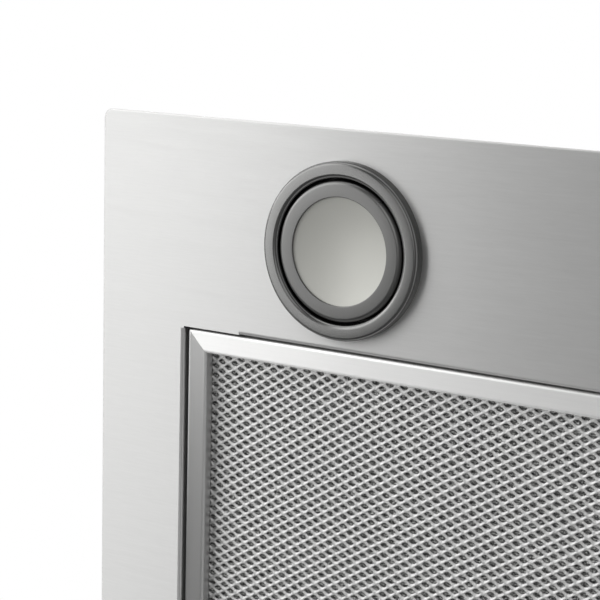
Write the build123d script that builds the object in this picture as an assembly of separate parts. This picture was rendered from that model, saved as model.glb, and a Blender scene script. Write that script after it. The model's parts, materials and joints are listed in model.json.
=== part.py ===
from build123d import *

import os
from math import cos, radians, sin

# A built-in range hood for a wall cabinet. A brushed steel plate closes the cabinet from below and
# holds two lamps, the controls and a hinged grease filter. A sheet-metal casing above it carries a
# double-inlet blower, a duct collar with damper flaps and a wiring box.
# Sizes are in millimetres. +Z is up and the front is -Y. The origin is the middle of the plate's
# upper face, which lies against the underside of the cabinet.

# Base plate
PLATE_WIDTH = 530.0
PLATE_DEPTH = 300.0
PLATE_SHEET = 1.0
PLATE_CORNER_RADIUS = 4.0
PLATE_EDGE_ROUND = 0.8

# Filter opening, measured from the plate's edges, with edges folded up
OPENING_FROM_SIDE = 42.0
OPENING_FROM_FRONT = 85.4
OPENING_FROM_REAR = 41.1
FOLD_RADIUS = 1.5
FOLD_HEIGHT = 6.4
FOLD_CORNER_RELIEF = 27.2
FOLD_SIDE_RELIEF = 0.8

# Lamps
LAMP_FROM_SIDE = 117.1
LAMP_FROM_FRONT = 46.35
LAMP_BEZEL_RADIUS = 34.35
LAMP_BEZEL_HEIGHT = 4.5
LAMP_BEZEL_ROUND = 1.5
LAMP_GROOVE_RADIUS = 28.0
LAMP_GROOVE_WIDTH = 1.2
LAMP_RING_ROUND = 1.2
LAMP_RING_RECESS = 0.5
LAMP_WINDOW_RADIUS = 20.9
LAMP_LENS_LIP = 1.0
LAMP_LENS_RECESS = 0.6
LAMP_LENS_THICKNESS = 2.0
LAMP_NECK_WALL = 1.2
LAMP_NECK_HEIGHT = 6.0
LAMP_SEAT_HEIGHT = 1.0
LAMP_BODY_FLOOR = 4.0
LAMP_FIN_HEIGHT = 19.0
LAMP_FIN_COUNT = 12
LAMP_FIN_THICKNESS = 2.0
LAMP_CORE_RADIUS = 14.0
LAMP_BOARD_THICKNESS = 1.6
LAMP_CLIP_SHEET = 0.5
LAMP_CLIP_WIDTH = 9.0
LAMP_CLIP_REACH = 14.0
LAMP_CLIP_RISE = 5.0

# Grease filter
FILTER_GAP = 1.1
FILTER_RECESS = 1.6
FILTER_THICKNESS = 10.0
FILTER_BAR = 9.0
FILTER_SHEET = 0.8
FILTER_LIP = 4.6
FILTER_BAR_ROUND = 1.2
MESH_SHEET = 0.8
NET_CELL_LENGTH = 26.0
NET_CELL_WIDTH = 22.0
NET_STRAND = 3.6
PIVOT_RADIUS = 2.0
PIVOT_FROM_EDGE = 3.0
PIVOT_BRACKET_SHEET = 1.2
PIVOT_BRACKET_DEPTH = 14.0
PIVOT_BRACKET_RISE = 5.0
PIVOT_BRACKET_FOOT = 9.0
PIVOT_BRACKET_GAP = 2.5

# Filter latch
LATCH_WIDTH = 62.0
LATCH_DEPTH = 32.0
LATCH_WALL = 2.0
LATCH_FLANGE = 4.0
LATCH_SLIDER_WIDTH = 46.0
LATCH_SLIDER_LENGTH = 15.0
LATCH_RAIL = 4.0
LATCH_TONGUE_WIDTH = 20.0
LATCH_TONGUE_THICKNESS = 2.0
LATCH_THROW = 4.5
LATCH_PULL = 2.5
LATCH_GRIP_RADIUS = 11.0

# Casing and blower box
CASING_FROM_SIDE = 17.0
CASING_FROM_FRONT = 11.2
CASING_HEIGHT = 95.0
CASING_SHEET = 0.8
CASING_BEND = 1.2
CASING_RIM = 5.8
BOX_WIDTH = 300.0
BOX_DEPTH = 240.0
RIVET_RADIUS = 1.6
RIVET_HEAD_RADIUS = 2.8
RIVET_HEAD_HEIGHT = 1.0
RIVET_FROM_END = 22.0
FIXING_HOLE_RADIUS = 2.25
FIXING_HOLE_SPACING = 200.0
FIXING_HOLE_HEIGHT = 52.0
CLIP_SHEET = 0.8
CLIP_WIDTH = 28.0
CLIP_SPACING = 110.0
CLIP_TOP = 72.0
CLIP_LENGTH = 50.0
CLIP_BULGE = 10.0

# Blower
PLENUM_HEIGHT = 29.4
IMPELLER_RADIUS = 56.0
IMPELLER_INNER_RADIUS = 45.0
IMPELLER_WIDTH = 90.0
IMPELLER_DISC = 2.0
IMPELLER_RING = 3.0
IMPELLER_RING_BAND = 5.0
BLADE_COUNT = 32
BLADE_THICKNESS = 1.2
BLADE_LEAD = 11.0
BLADE_BULGE = 2.2
HUB_RADIUS = 9.0
HUB_LENGTH = 12.0
SHAFT_RADIUS = 4.0
SHAFT_CLEARANCE = 0.06
SCROLL_GAP = 8.0
SCROLL_STEP = 8.0
SCROLL_WALL = 2.0
SCROLL_SIDE_GAP = 5.0
SCROLL_CENTRE_Y = -32.0
SCROLL_NECK = 20.0
SCROLL_MOUTH_FLANGE = 8.0
INLET_OVER_BLADES = 3.0
INLET_LIP = 5.0
MOTOR_RADIUS = 33.0
MOTOR_LENGTH = 60.0
MOTOR_FROM_HUB = 3.0
MOTOR_FLANGE = 4.0
MOTOR_FLANGE_THICKNESS = 3.0
BRACKET_SHEET = 2.0
BRACKET_ARM = 14.0
GROMMET_RADIUS = 6.0
GROMMET_HEIGHT = 8.0

# Duct collar and damper
SPIGOT_RADIUS = 74.5
SPIGOT_WALL = 2.0
SPIGOT_HEIGHT = 40.0
COLLAR_FLANGE = 9.0
COLLAR_FLANGE_THICKNESS = 2.5
COLLAR_CORNER_RADIUS = 10.0
COLLAR_SEAT = 6.0
COLLAR_SCREW_RADIUS = 2.0
COLLAR_SCREW_HEAD = 3.8
FLAP_THICKNESS = 1.5
FLAP_EDGE_GAP = 1.5
FLAP_REST_GAP = 0.3
AXLE_RADIUS = 1.4
AXLE_CLEARANCE = 0.1
KNUCKLE_WALL = 1.4
KNUCKLE_GAP = 0.5
KNUCKLES_PER_FLAP = 2
DAMPER_BOSS = 6.0

# Controls
BUTTON_NAMES = ("lamp", "off", "speed_1", "speed_2", "speed_3")
BUTTON_WIDTH = 10.5
BUTTON_DEPTH = 13.0
BUTTON_PITCH = 13.6
BUTTON_PROUD = 2.5
BUTTON_TRAVEL = 2.0
BUTTON_CLEARANCE = 0.3
BUTTON_COLLAR = 1.0
BUTTON_COLLAR_THICKNESS = 1.5
BUTTON_ROUND = 1.0
BEZEL_FLANGE = 3.0
BEZEL_FLANGE_THICKNESS = 2.0
BEZEL_MARGIN = 2.4
BEZEL_BODY = 8.0
BEZEL_CORNER_RADIUS = 3.0
BEZEL_SNAP = 1.2
BEZEL_SNAP_WIDTH = 8.0
SWITCH_HEIGHT = 20.0
SWITCH_TAB_HEIGHT = 7.0
SWITCH_TAB_WIDTH = 6.3
SWITCH_TAB_THICKNESS = 0.8

# Wiring box
WIRING_WIDTH = 52.0
WIRING_DEPTH = 120.0
WIRING_HEIGHT = 45.0
WIRING_WALL = 1.6
WIRING_FROM_BOX = 8.0
WIRING_LID = 2.0
WIRING_LID_SKIRT = 5.0
CAPACITOR_RADIUS = 14.0
CAPACITOR_LENGTH = 58.0
GLAND_BORE = 4.0
GLAND_NECK = 7.0
GLAND_NUT = 10.0
GLAND_NUT_LENGTH = 12.0
GLAND_INSIDE = 8.0
GLAND_HEIGHT = 22.0

# Clearances shared by the fits
RUN = 0.3
FIT = 0.2
PRESS = 0.05

# Heights and places that follow from the sizes above
plate_under = -PLATE_SHEET
opening_left = -PLATE_WIDTH / 2 + OPENING_FROM_SIDE
opening_right = -opening_left
opening_front = -PLATE_DEPTH / 2 + OPENING_FROM_FRONT
opening_rear = PLATE_DEPTH / 2 - OPENING_FROM_REAR
lamp_x = PLATE_WIDTH / 2 - LAMP_FROM_SIDE
lamp_y = -PLATE_DEPTH / 2 + LAMP_FROM_FRONT
lamp_hole = LAMP_GROOVE_RADIUS + LAMP_NECK_WALL + FIT
lamp_face = plate_under - LAMP_BEZEL_HEIGHT
ring_radius = LAMP_GROOVE_RADIUS - LAMP_GROOVE_WIDTH
ring_face = lamp_face + LAMP_RING_RECESS
lens_face = ring_face + LAMP_LENS_RECESS
lens_radius = LAMP_WINDOW_RADIUS + LAMP_LENS_LIP

filter_x = opening_right - FILTER_GAP
filter_front = opening_front + FILTER_GAP
filter_rear = opening_rear - FILTER_GAP
filter_face = plate_under + FILTER_RECESS
filter_top = filter_face + FILTER_THICKNESS
mesh_low = filter_face + FILTER_LIP
mesh_high = filter_top - FILTER_SHEET
pivot_y = filter_rear - PIVOT_FROM_EDGE
pivot_z = filter_face + PIVOT_FROM_EDGE
bracket_x = opening_right + PIVOT_BRACKET_GAP

latch_front = filter_front + FILTER_BAR
latch_rear = latch_front + LATCH_DEPTH
tongue_low = max(mesh_low, FOLD_HEIGHT) + 0.6
tongue_high = tongue_low + LATCH_TONGUE_THICKNESS
slider_front = latch_front + LATCH_WALL + LATCH_THROW + RUN
slider_rear = slider_front + LATCH_SLIDER_LENGTH

casing_x = PLATE_WIDTH / 2 - CASING_FROM_SIDE
casing_y = PLATE_DEPTH / 2 - CASING_FROM_FRONT
deck_under = CASING_HEIGHT - CASING_SHEET

scroll_radius = IMPELLER_RADIUS + SCROLL_GAP
scroll_half = IMPELLER_WIDTH / 2 + SCROLL_SIDE_GAP
scroll_side = scroll_half + SCROLL_WALL
scroll_drop = SCROLL_STEP / 2 + scroll_radius + SCROLL_STEP + SCROLL_WALL
scroll_z = filter_top + PLENUM_HEIGHT + scroll_drop
mouth_front = -SCROLL_STEP / 2
mouth_rear = SCROLL_STEP / 2 + scroll_radius + 2 * SCROLL_STEP
mouth_rise = scroll_radius - SCROLL_STEP / 2 + SCROLL_NECK
inlet_radius = IMPELLER_INNER_RADIUS + INLET_OVER_BLADES
box_under = scroll_z + mouth_rise
box_top = box_under + CASING_SHEET
bracket_z = scroll_side + GROMMET_HEIGHT
grommet_circle = inlet_radius + INLET_LIP + GROMMET_RADIUS + 1.0

collar_y = SCROLL_CENTRE_Y + (mouth_front + mouth_rear) / 2
spigot_bore = SPIGOT_RADIUS - SPIGOT_WALL
seat_radius = spigot_bore - COLLAR_SEAT
seat_z = box_top + COLLAR_FLANGE_THICKNESS
knuckle_radius = AXLE_RADIUS + AXLE_CLEARANCE + KNUCKLE_WALL
axle_z = seat_z + FLAP_REST_GAP + knuckle_radius
axle_half = spigot_bore - PRESS
collar_half = SPIGOT_RADIUS + COLLAR_FLANGE
collar_screw_place = collar_half - COLLAR_FLANGE - 1.0

bezel_under = plate_under - BEZEL_FLANGE_THICKNESS
bezel_width = (len(BUTTON_NAMES) - 1) * BUTTON_PITCH + BUTTON_WIDTH + 2 * BEZEL_MARGIN
bezel_depth = BUTTON_DEPTH + 2 * BEZEL_MARGIN
collar_low = BEZEL_BODY + RUN
pocket_high = collar_low + BUTTON_COLLAR_THICKNESS + BUTTON_TRAVEL + RUN

wiring_x = BOX_WIDTH / 2 + WIRING_FROM_BOX + WIRING_WIDTH / 2
wiring_rear = WIRING_DEPTH / 2

MIN_Z = (Align.CENTER, Align.CENTER, Align.MIN)


def block(x, y, z):
    """A block given by its (low, high) pair along each axis."""
    size = [high - low for low, high in (x, y, z)]
    middle = [(low + high) / 2 for low, high in (x, y, z)]
    return Pos(*middle) * Box(*size)


def rod_x(x, y, z, radius):
    """A round bar along X between the pair x, with its axis at y and z."""
    return Pos((x[0] + x[1]) / 2, y, z) * Rot(0, 90, 0) * Cylinder(radius, x[1] - x[0])


def rod_z(x, y, z, radius):
    """A round bar along Z between the pair z, with its axis at x and y."""
    return Pos(x, y, z[0]) * Cylinder(radius, z[1] - z[0], align=MIN_Z)


def at_corner(vertex, corner):
    """True where a sketch vertex lies on a corner point."""
    return abs(vertex.X - corner[0]) < 1e-6 and abs(vertex.Y - corner[1]) < 1e-6


def outline(points, rounded=(), radius=0.0):
    """A closed face through the points, with some of its corners rounded."""
    face = make_face(Polyline(*points, close=True))
    corners = [v for v in face.vertices() if any(at_corner(v, c) for c in rounded)]
    return fillet(corners, radius) if corners else face


def turned(points, rounded=(), radius=0.0):
    """A solid turned about Z from (radius, height) points."""
    return revolve(Plane.XZ * outline(points, rounded, radius), Axis.Z)


def strip(points, thickness, width):
    """A thin strip that follows (x, z) points, of a given width along Y, centred on y = 0."""
    line = Polyline(*points)
    face = make_face(offset(line, amount=thickness, side=Side.LEFT))
    return extrude(Plane.XZ * face, amount=width / 2, both=True)


def both_sides(shape):
    """A shape and its mirror image across the middle plane x = 0."""
    return [shape, mirror(shape, about=Plane.YZ)]


def fold(length):
    """An opening edge folded up: it runs along X with its inner face at y = 0 and the plate at -Y."""
    inner = FOLD_RADIUS - PLATE_SHEET
    centre = (-FOLD_RADIUS, plate_under + FOLD_RADIUS)
    outer_arc = CenterArc(centre, FOLD_RADIUS, -90, 90)
    inner_arc = CenterArc(centre, inner, 0, -90)
    wall_out = Line((0, centre[1]), (0, FOLD_HEIGHT))
    wall_top = Line((0, FOLD_HEIGHT), (-PLATE_SHEET, FOLD_HEIGHT))
    wall_in = Line((-PLATE_SHEET, FOLD_HEIGHT), (-PLATE_SHEET, centre[1]))
    root = Line((-FOLD_RADIUS, 0), (-FOLD_RADIUS, plate_under))
    section = make_face([outer_arc, wall_out, wall_top, wall_in, inner_arc, root])
    return extrude(Plane.YZ * section, amount=length / 2, both=True)


def base_plate():
    """The visible plate, with its lamp holes, control cut-out and folded filter opening."""
    opening_size = (opening_right - opening_left, opening_rear - opening_front)
    opening_y = (opening_front + opening_rear) / 2
    sheet = RectangleRounded(PLATE_WIDTH, PLATE_DEPTH, PLATE_CORNER_RADIUS)
    sheet -= Pos(0, opening_y) * Rectangle(*opening_size)
    sheet -= [Pos(side * lamp_x, lamp_y) * Circle(lamp_hole) for side in (-1, 1)]
    sheet -= Pos(0, lamp_y) * Rectangle(bezel_width + 2 * FIT, bezel_depth + 2 * FIT)
    plate = extrude(sheet, amount=-PLATE_SHEET)
    edge = plate.faces().sort_by(Axis.Z)[0].outer_wire().edges()
    plate = fillet(edge, PLATE_EDGE_ROUND)
    wide = opening_size[0] - 2 * FOLD_CORNER_RELIEF
    side_low = opening_front + FOLD_SIDE_RELIEF
    side_high = pivot_y - PIVOT_BRACKET_DEPTH
    deep = side_high - side_low
    side_place = Pos(opening_right, (side_low + side_high) / 2, 0)
    front_strip = (opening_front - FOLD_RADIUS, opening_front)
    rear_strip = (opening_rear, opening_rear + FOLD_RADIUS)
    side_strip = (opening_right, opening_right + FOLD_RADIUS)
    through = (plate_under, 0)
    plate -= block((-wide / 2, wide / 2), front_strip, through)
    plate -= block((-wide / 2, wide / 2), rear_strip, through)
    plate -= both_sides(block(side_strip, (side_low, side_high), through))
    plate += Pos(0, opening_front, 0) * fold(wide)
    plate += Pos(0, opening_rear, 0) * Rot(0, 0, 180) * fold(wide)
    plate += both_sides(side_place * Rot(0, 0, 90) * fold(deep))
    return plate


def lamp_bezel():
    """The outer ring on the plate's underside, with a neck through the plate."""
    neck = LAMP_GROOVE_RADIUS + LAMP_NECK_WALL
    points = [
        (LAMP_GROOVE_RADIUS, lamp_face),
        (LAMP_BEZEL_RADIUS, lamp_face),
        (LAMP_BEZEL_RADIUS, plate_under),
        (neck, plate_under),
        (neck, LAMP_NECK_HEIGHT),
        (LAMP_GROOVE_RADIUS, LAMP_NECK_HEIGHT),
    ]
    return turned(points, points[:2], LAMP_BEZEL_ROUND)


def lamp_ring():
    """The inner ring, just inside the bezel's face, with a rabbet that holds the lens."""
    points = [
        (ring_radius, ring_face),
        (ring_radius, LAMP_SEAT_HEIGHT),
        (lens_radius + FIT, LAMP_SEAT_HEIGHT),
        (lens_radius + FIT, lens_face),
        (LAMP_WINDOW_RADIUS, lens_face),
        (LAMP_WINDOW_RADIUS, ring_face),
    ]
    return turned(points, points[:1], LAMP_RING_ROUND)


def lamp_lens():
    """The frosted disc that lies on the ring's lip."""
    return rod_z(0, 0, (lens_face, lens_face + LAMP_LENS_THICKNESS), lens_radius)


def lamp_body():
    """The cast heat sink behind the ring: a floor, a core and upright fins."""
    floor_top = LAMP_SEAT_HEIGHT + LAMP_BODY_FLOOR
    fin_top = floor_top + LAMP_FIN_HEIGHT
    body_radius = LAMP_GROOVE_RADIUS - FIT
    fin = block(
        (0, body_radius - 1.0),
        (-LAMP_FIN_THICKNESS / 2, LAMP_FIN_THICKNESS / 2),
        (floor_top, fin_top),
    )
    turn = 360 / LAMP_FIN_COUNT
    body = rod_z(0, 0, (LAMP_SEAT_HEIGHT, floor_top), body_radius)
    body += rod_z(0, 0, (floor_top, fin_top), LAMP_CORE_RADIUS)
    return body + [Rot(0, 0, turn * (i + 0.5)) * fin for i in range(LAMP_FIN_COUNT)]


def lamp_board():
    """The round circuit board under the heat sink, with its light-emitting chips."""
    low = LAMP_SEAT_HEIGHT - LAMP_BOARD_THICKNESS
    board = rod_z(0, 0, (low, LAMP_SEAT_HEIGHT), lens_radius - 1.0)
    chip = block((-1.4, 1.4), (-1.4, 1.4), (low - 0.7, low))
    return board + [Rot(0, 0, 60 * i) * Pos(lens_radius / 2, 0, 0) * chip for i in range(6)]


def lamp_clips():
    """Two leaf springs on the neck that press the bezel against the plate."""
    neck = LAMP_GROOVE_RADIUS + LAMP_NECK_WALL
    reach = neck + LAMP_CLIP_REACH
    points = [
        (reach, 0),
        (neck + LAMP_CLIP_REACH / 2, LAMP_NECK_HEIGHT + LAMP_CLIP_RISE),
        (neck, LAMP_NECK_HEIGHT),
        (neck, FIT),
    ]
    leaf = strip(points, -LAMP_CLIP_SHEET, LAMP_CLIP_WIDTH)
    leaf -= block((neck, reach + 5), (-LAMP_CLIP_WIDTH, LAMP_CLIP_WIDTH), (-5, 0))
    leaf -= rod_z(0, 0, (-5, LAMP_NECK_HEIGHT + 1), neck)
    return [leaf, Rot(0, 0, 180) * leaf]


def filter_bar(length):
    """A channel bar along X: outer face at y = 0, mitred at 45 degrees, held open towards +Y."""
    low, top, sheet = filter_face, filter_top, FILTER_SHEET
    points = [
        (0, low),
        (FILTER_BAR, low),
        (FILTER_BAR, mesh_low),
        (FILTER_BAR - sheet, mesh_low),
        (FILTER_BAR - sheet, low + sheet),
        (sheet, low + sheet),
        (sheet, mesh_high),
        (FILTER_BAR, mesh_high),
        (FILTER_BAR, top),
        (0, top),
    ]
    section = outline(points, points[:2], FILTER_BAR_ROUND)
    bar = extrude(Plane.YZ * section, amount=length / 2, both=True)
    half = length / 2
    plan = Polyline(
        (-half, 0), (half, 0), (half - FILTER_BAR, FILTER_BAR), (FILTER_BAR - half, FILTER_BAR), close=True
    )
    return bar & extrude(make_face(plan), amount=top + 1)


def filter_bars():
    """The four mitred bars, with the latch slot in front and the pivot holes at the rear."""
    wide = 2 * filter_x
    deep = filter_rear - filter_front
    middle = (filter_front + filter_rear) / 2
    slot_x = LATCH_TONGUE_WIDTH / 2 + RUN
    slot_z = (tongue_low - RUN, tongue_high + RUN)
    front = Pos(0, filter_front, 0) * filter_bar(wide)
    front -= block((-slot_x, slot_x), (filter_front, filter_front + FILTER_SHEET), slot_z)
    rear = Pos(0, filter_rear, 0) * Rot(0, 0, 180) * filter_bar(wide)
    right = Pos(filter_x, middle, 0) * Rot(0, 0, 90) * filter_bar(deep)
    right -= rod_x((filter_x - FILTER_SHEET, filter_x), pivot_y, pivot_z, PIVOT_RADIUS + PRESS)
    return front, rear, right, mirror(right, about=Plane.YZ)


def layer_plan():
    """The outline of a mesh layer: it fills the frame's channel and leaves the latch free."""
    inset = FILTER_SHEET + FIT
    half = filter_x - inset
    front = filter_front + inset
    rear = filter_rear - inset
    notch = LATCH_WIDTH / 2 + FIT
    notch_rear = latch_rear + FIT
    sheet = Pos(0, (front + rear) / 2) * Rectangle(2 * half, rear - front)
    return sheet - Pos(0, (front + notch_rear) / 2) * Rectangle(2 * notch, notch_rear - front)


def net_gaps():
    """The diamond gaps of a coarse net, in staggered rows inside the frame's window."""
    half_l = (NET_CELL_LENGTH - NET_STRAND * 1.4) / 2
    half_w = (NET_CELL_WIDTH - NET_STRAND * 1.4) / 2
    gap = make_face(Polyline((half_l, 0), (0, half_w), (-half_l, 0), (0, -half_w), close=True))
    room_x = filter_x - FILTER_BAR - half_l
    low = filter_front + FILTER_BAR + half_w
    high = filter_rear - FILTER_BAR - half_w
    rows = int((high - low) / (NET_CELL_WIDTH / 2))
    start = (low + high) / 2 - rows * NET_CELL_WIDTH / 4
    gaps = []
    for row in range(rows + 1):
        y = start + row * NET_CELL_WIDTH / 2
        shift = (row % 2) / 2
        count = int(room_x / NET_CELL_LENGTH) + 1
        for column in range(-count, count + 1):
            x = (column + shift) * NET_CELL_LENGTH
            near_latch = y - half_w < latch_rear + 3 and abs(x) - half_l < LATCH_WIDTH / 2 + 3
            if abs(x) <= room_x and not near_latch:
                gaps.append(Pos(x, y) * gap)
    return gaps


def filter_layers():
    """Front mesh, core and back mesh, packed in the frame's channel."""
    plan = layer_plan()
    core_low = mesh_low + MESH_SHEET
    core_high = mesh_high - MESH_SHEET
    front = Pos(0, 0, mesh_low) * extrude(plan - net_gaps(), amount=MESH_SHEET)
    core = Pos(0, 0, core_low) * extrude(plan, amount=core_high - core_low)
    back = Pos(0, 0, core_high) * extrude(plan, amount=MESH_SHEET)
    return front, core, back


def filter_pins():
    """The two stub pins at the filter's rear corners, on the hinge axis."""
    end = bracket_x + PIVOT_BRACKET_SHEET + 1.0
    pin = rod_x((filter_x - FILTER_SHEET, end), pivot_y, pivot_z, PIVOT_RADIUS)
    return both_sides(pin)


def pivot_brackets():
    """The two upright hooks on the plate that carry the filter's pins, open at the top."""
    low = pivot_y - PIVOT_BRACKET_DEPTH / 2
    high = pivot_y + PIVOT_BRACKET_DEPTH / 2
    top = pivot_z + PIVOT_BRACKET_RISE
    slot = PIVOT_RADIUS + 0.1
    upright = (bracket_x, bracket_x + PIVOT_BRACKET_SHEET)
    hook = block(upright, (low, high), (0, top))
    hook += block((bracket_x, bracket_x + PIVOT_BRACKET_FOOT), (low, high), (0, PIVOT_BRACKET_SHEET))
    hook -= rod_x(upright, pivot_y, pivot_z, slot)
    hook -= block(upright, (pivot_y - slot, pivot_y + slot), (pivot_z, top))
    return both_sides(hook)


def latch_housing():
    """The moulded pocket in the filter's front that guides the latch slider."""
    half = LATCH_WIDTH / 2
    roof = mesh_high
    lower = LATCH_SLIDER_WIDTH / 2 + RUN
    upper = lower + LATCH_RAIL
    room = (latch_front + LATCH_WALL, latch_rear - LATCH_WALL)
    face = filter_face + FILTER_SHEET
    ledge = tongue_low - RUN
    ceiling = tongue_high + RUN
    slot = LATCH_TONGUE_WIDTH / 2 + RUN
    flange = half + LATCH_FLANGE
    housing = block((-half, half), (latch_front, latch_rear), (face, roof + LATCH_WALL))
    housing += block(
        (-flange, flange), (latch_front, latch_rear + LATCH_FLANGE), (mesh_low - LATCH_WALL, mesh_low)
    )
    housing -= block((-lower, lower), room, (face, ledge))
    housing -= block((-upper, upper), room, (ledge, ceiling))
    housing -= block((-slot, slot), (latch_front, room[0]), (ledge, ceiling))
    return housing


def latch_slider():
    """The sliding bolt: a finger grip on side rails, with a tongue through the front bar."""
    half = LATCH_SLIDER_WIDTH / 2
    rail = half + LATCH_RAIL
    low = filter_face + FILTER_SHEET + 1.0
    length = (slider_front, slider_rear)
    tongue = LATCH_TONGUE_WIDTH / 2
    slider = block((-half, half), length, (low, tongue_high))
    slider += block((-rail, rail), length, (tongue_low, tongue_high))
    slider += block((-tongue, tongue), (filter_front + FIT, slider_front), (tongue_low, tongue_high))
    grip_depth = tongue_low - low
    grip_y = (slider_front + slider_rear) / 2
    grip = SlotOverall(half * 1.5, LATCH_SLIDER_LENGTH * 0.6)
    slider -= Pos(0, grip_y, low) * extrude(grip, amount=grip_depth, taper=12)
    return slider


def pan(width, height):
    """A sheet-metal pan: its wall faces -Y at y = 0, and rims run back from all four edges."""
    body = Box(width, CASING_RIM, height, align=(Align.CENTER, Align.MIN, Align.MIN))
    body = fillet(body.faces().sort_by(Axis.Y)[0].edges(), CASING_BEND)
    inner = (width / 2 - CASING_SHEET, height - CASING_SHEET)
    body -= block((-inner[0], inner[0]), (CASING_SHEET, CASING_RIM), (CASING_SHEET, inner[1]))
    notch = CASING_SHEET + CASING_BEND
    for z in ((0, notch), (height - notch, height)):
        body -= both_sides(block((width / 2 - notch, width / 2), (0, CASING_RIM), z))
    return body


def side_wall(half_y, height):
    """A side sheet at x = 0 facing +X, with rims folded in along its bottom and top."""
    rim_half = half_y - CASING_RIM - 1.0
    rim = (-CASING_RIM, 0)
    wall = block((-CASING_SHEET, 0), (-half_y, half_y), (0, height))
    wall += block(rim, (-rim_half, rim_half), (0, CASING_SHEET))
    wall += block(rim, (-rim_half, rim_half), (height - CASING_SHEET, height))
    return wall


def rivets(half_x, half_y, low, high):
    """Blind rivets through the overlap of each pan's end rims and the side walls."""
    depth = 2 * CASING_SHEET
    head = Pos(0, 0, 0) * Cone(RIVET_HEAD_RADIUS, RIVET_RADIUS, RIVET_HEAD_HEIGHT, align=MIN_Z)
    rivet = head + Pos(0, 0, -depth) * Cylinder(RIVET_RADIUS, depth, align=MIN_Z)
    seam = half_y - CASING_RIM / 2
    heights = (low + RIVET_FROM_END, high - RIVET_FROM_END)
    places = [Pos(half_x, y, z) * Rot(0, 90, 0) for y in (-seam, seam) for z in heights]
    return [copy for place in places for copy in both_sides(place * rivet)]


def box_walls(half_x, half_y, low, high):
    """Front, rear, left and right panels of a box between two heights, drilled for its rivets."""
    height = high - low
    drill = RIVET_RADIUS + PRESS
    seam = half_y - CASING_RIM / 2
    heights = (low + RIVET_FROM_END, high - RIVET_FROM_END)
    reach = (half_x - 2 * CASING_SHEET - 1, half_x + 1)
    holes = [rod_x(reach, y, z, drill) for y in (-seam, seam) for z in heights]
    holes += [mirror(hole, about=Plane.YZ) for hole in holes]
    panel = pan(2 * (half_x - CASING_SHEET), height)
    front = Pos(0, -half_y, low) * panel - holes
    rear = Pos(0, half_y, low) * Rot(0, 0, 180) * panel - holes
    right = Pos(half_x, 0, low) * side_wall(half_y, height) - holes
    return front, rear, right


def fixing_holes():
    """The two screw holes in each casing side, for fixing the hood to the cabinet."""
    wall = (casing_x - CASING_SHEET, casing_x)
    ends = (-FIXING_HOLE_SPACING / 2, FIXING_HOLE_SPACING / 2)
    return [rod_x(wall, y, FIXING_HOLE_HEIGHT, FIXING_HOLE_RADIUS) for y in ends]


def casing_panels():
    """The four walls of the casing and its deck, which the blower box stands on."""
    front, rear, right = box_walls(casing_x, casing_y, 0, deck_under)
    right -= fixing_holes()
    way = (BOX_WIDTH - 2 * CASING_RIM - 2, BOX_DEPTH - 2 * CASING_RIM - 2)
    deck = RectangleRounded(2 * casing_x, 2 * casing_y, CASING_BEND) - Rectangle(*way)
    deck = Pos(0, 0, deck_under) * extrude(deck, amount=CASING_SHEET)
    return front, rear, right, mirror(right, about=Plane.YZ), deck


def box_panels():
    """The four walls of the blower box and its top, which carries the collar."""
    front, rear, right = box_walls(BOX_WIDTH / 2, BOX_DEPTH / 2, CASING_HEIGHT, box_under)
    top = RectangleRounded(BOX_WIDTH, BOX_DEPTH, CASING_BEND) - Pos(0, collar_y) * Circle(seat_radius)
    top = Pos(0, 0, box_under) * extrude(top, amount=CASING_SHEET)
    return front, rear, right, mirror(right, about=Plane.YZ), top - collar_screw_holes()


def fixing_clips():
    """Leaf springs on the casing's sides that grip the cut-out while the screws go in."""
    top, low = CLIP_TOP, CLIP_TOP - CLIP_LENGTH
    points = [
        (casing_x, top),
        (casing_x, top - CLIP_LENGTH / 4),
        (casing_x + CLIP_BULGE, low + CLIP_LENGTH / 4),
        (casing_x + CLIP_BULGE / 3, low),
    ]
    leaf = strip(points, CLIP_SHEET, CLIP_WIDTH)
    places = (-CLIP_SPACING / 2, CLIP_SPACING / 2)
    return [copy for y in places for copy in both_sides(Pos(0, y, 0) * leaf)]


def scroll_outline():
    """The inside of the scroll, from three growing quarter arcs and a mouth that points up."""
    step = SCROLL_STEP / 2
    radii = [scroll_radius + i * SCROLL_STEP for i in range(3)]
    tongue = (mouth_front, radii[0] - step)
    mouth = [(mouth_rear, mouth_rise), (mouth_front, mouth_rise)]
    edges = [
        CenterArc((-step, -step), radii[0], 90, 90),
        CenterArc((step, -step), radii[1], 180, 90),
        CenterArc((step, step), radii[2], 270, 90),
        Line((mouth_rear, step), mouth[0]),
        Line(*mouth),
        Line(mouth[1], tongue),
    ]
    return make_face(edges)


def blower_place():
    """The place of the blower's axis."""
    return Pos(0, SCROLL_CENTRE_Y, scroll_z)


def scroll_half_shell():
    """The left half of the scroll, split at x = 0, with its inlet lip and mouth flange."""
    inside = scroll_outline()
    outside = offset(inside, amount=SCROLL_WALL)
    shell = extrude(Plane.YZ * outside, amount=-scroll_side)
    flange_y = (mouth_front - SCROLL_MOUTH_FLANGE, mouth_rear + SCROLL_MOUTH_FLANGE)
    flange_z = (mouth_rise - SCROLL_WALL, mouth_rise)
    shell += block((-scroll_side - SCROLL_MOUTH_FLANGE, 0), flange_y, flange_z)
    lip_x = (-scroll_side - INLET_LIP, -scroll_side)
    shell += rod_x(lip_x, 0, 0, inlet_radius + INLET_LIP)
    shell -= extrude(Plane.YZ * inside, amount=-scroll_half)
    shell -= rod_x((lip_x[0], 0), 0, 0, inlet_radius)
    shell -= block((-2 * scroll_side, 0), flange_y, (mouth_rise, mouth_rise + 2 * SCROLL_WALL))
    return blower_place() * shell


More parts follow.
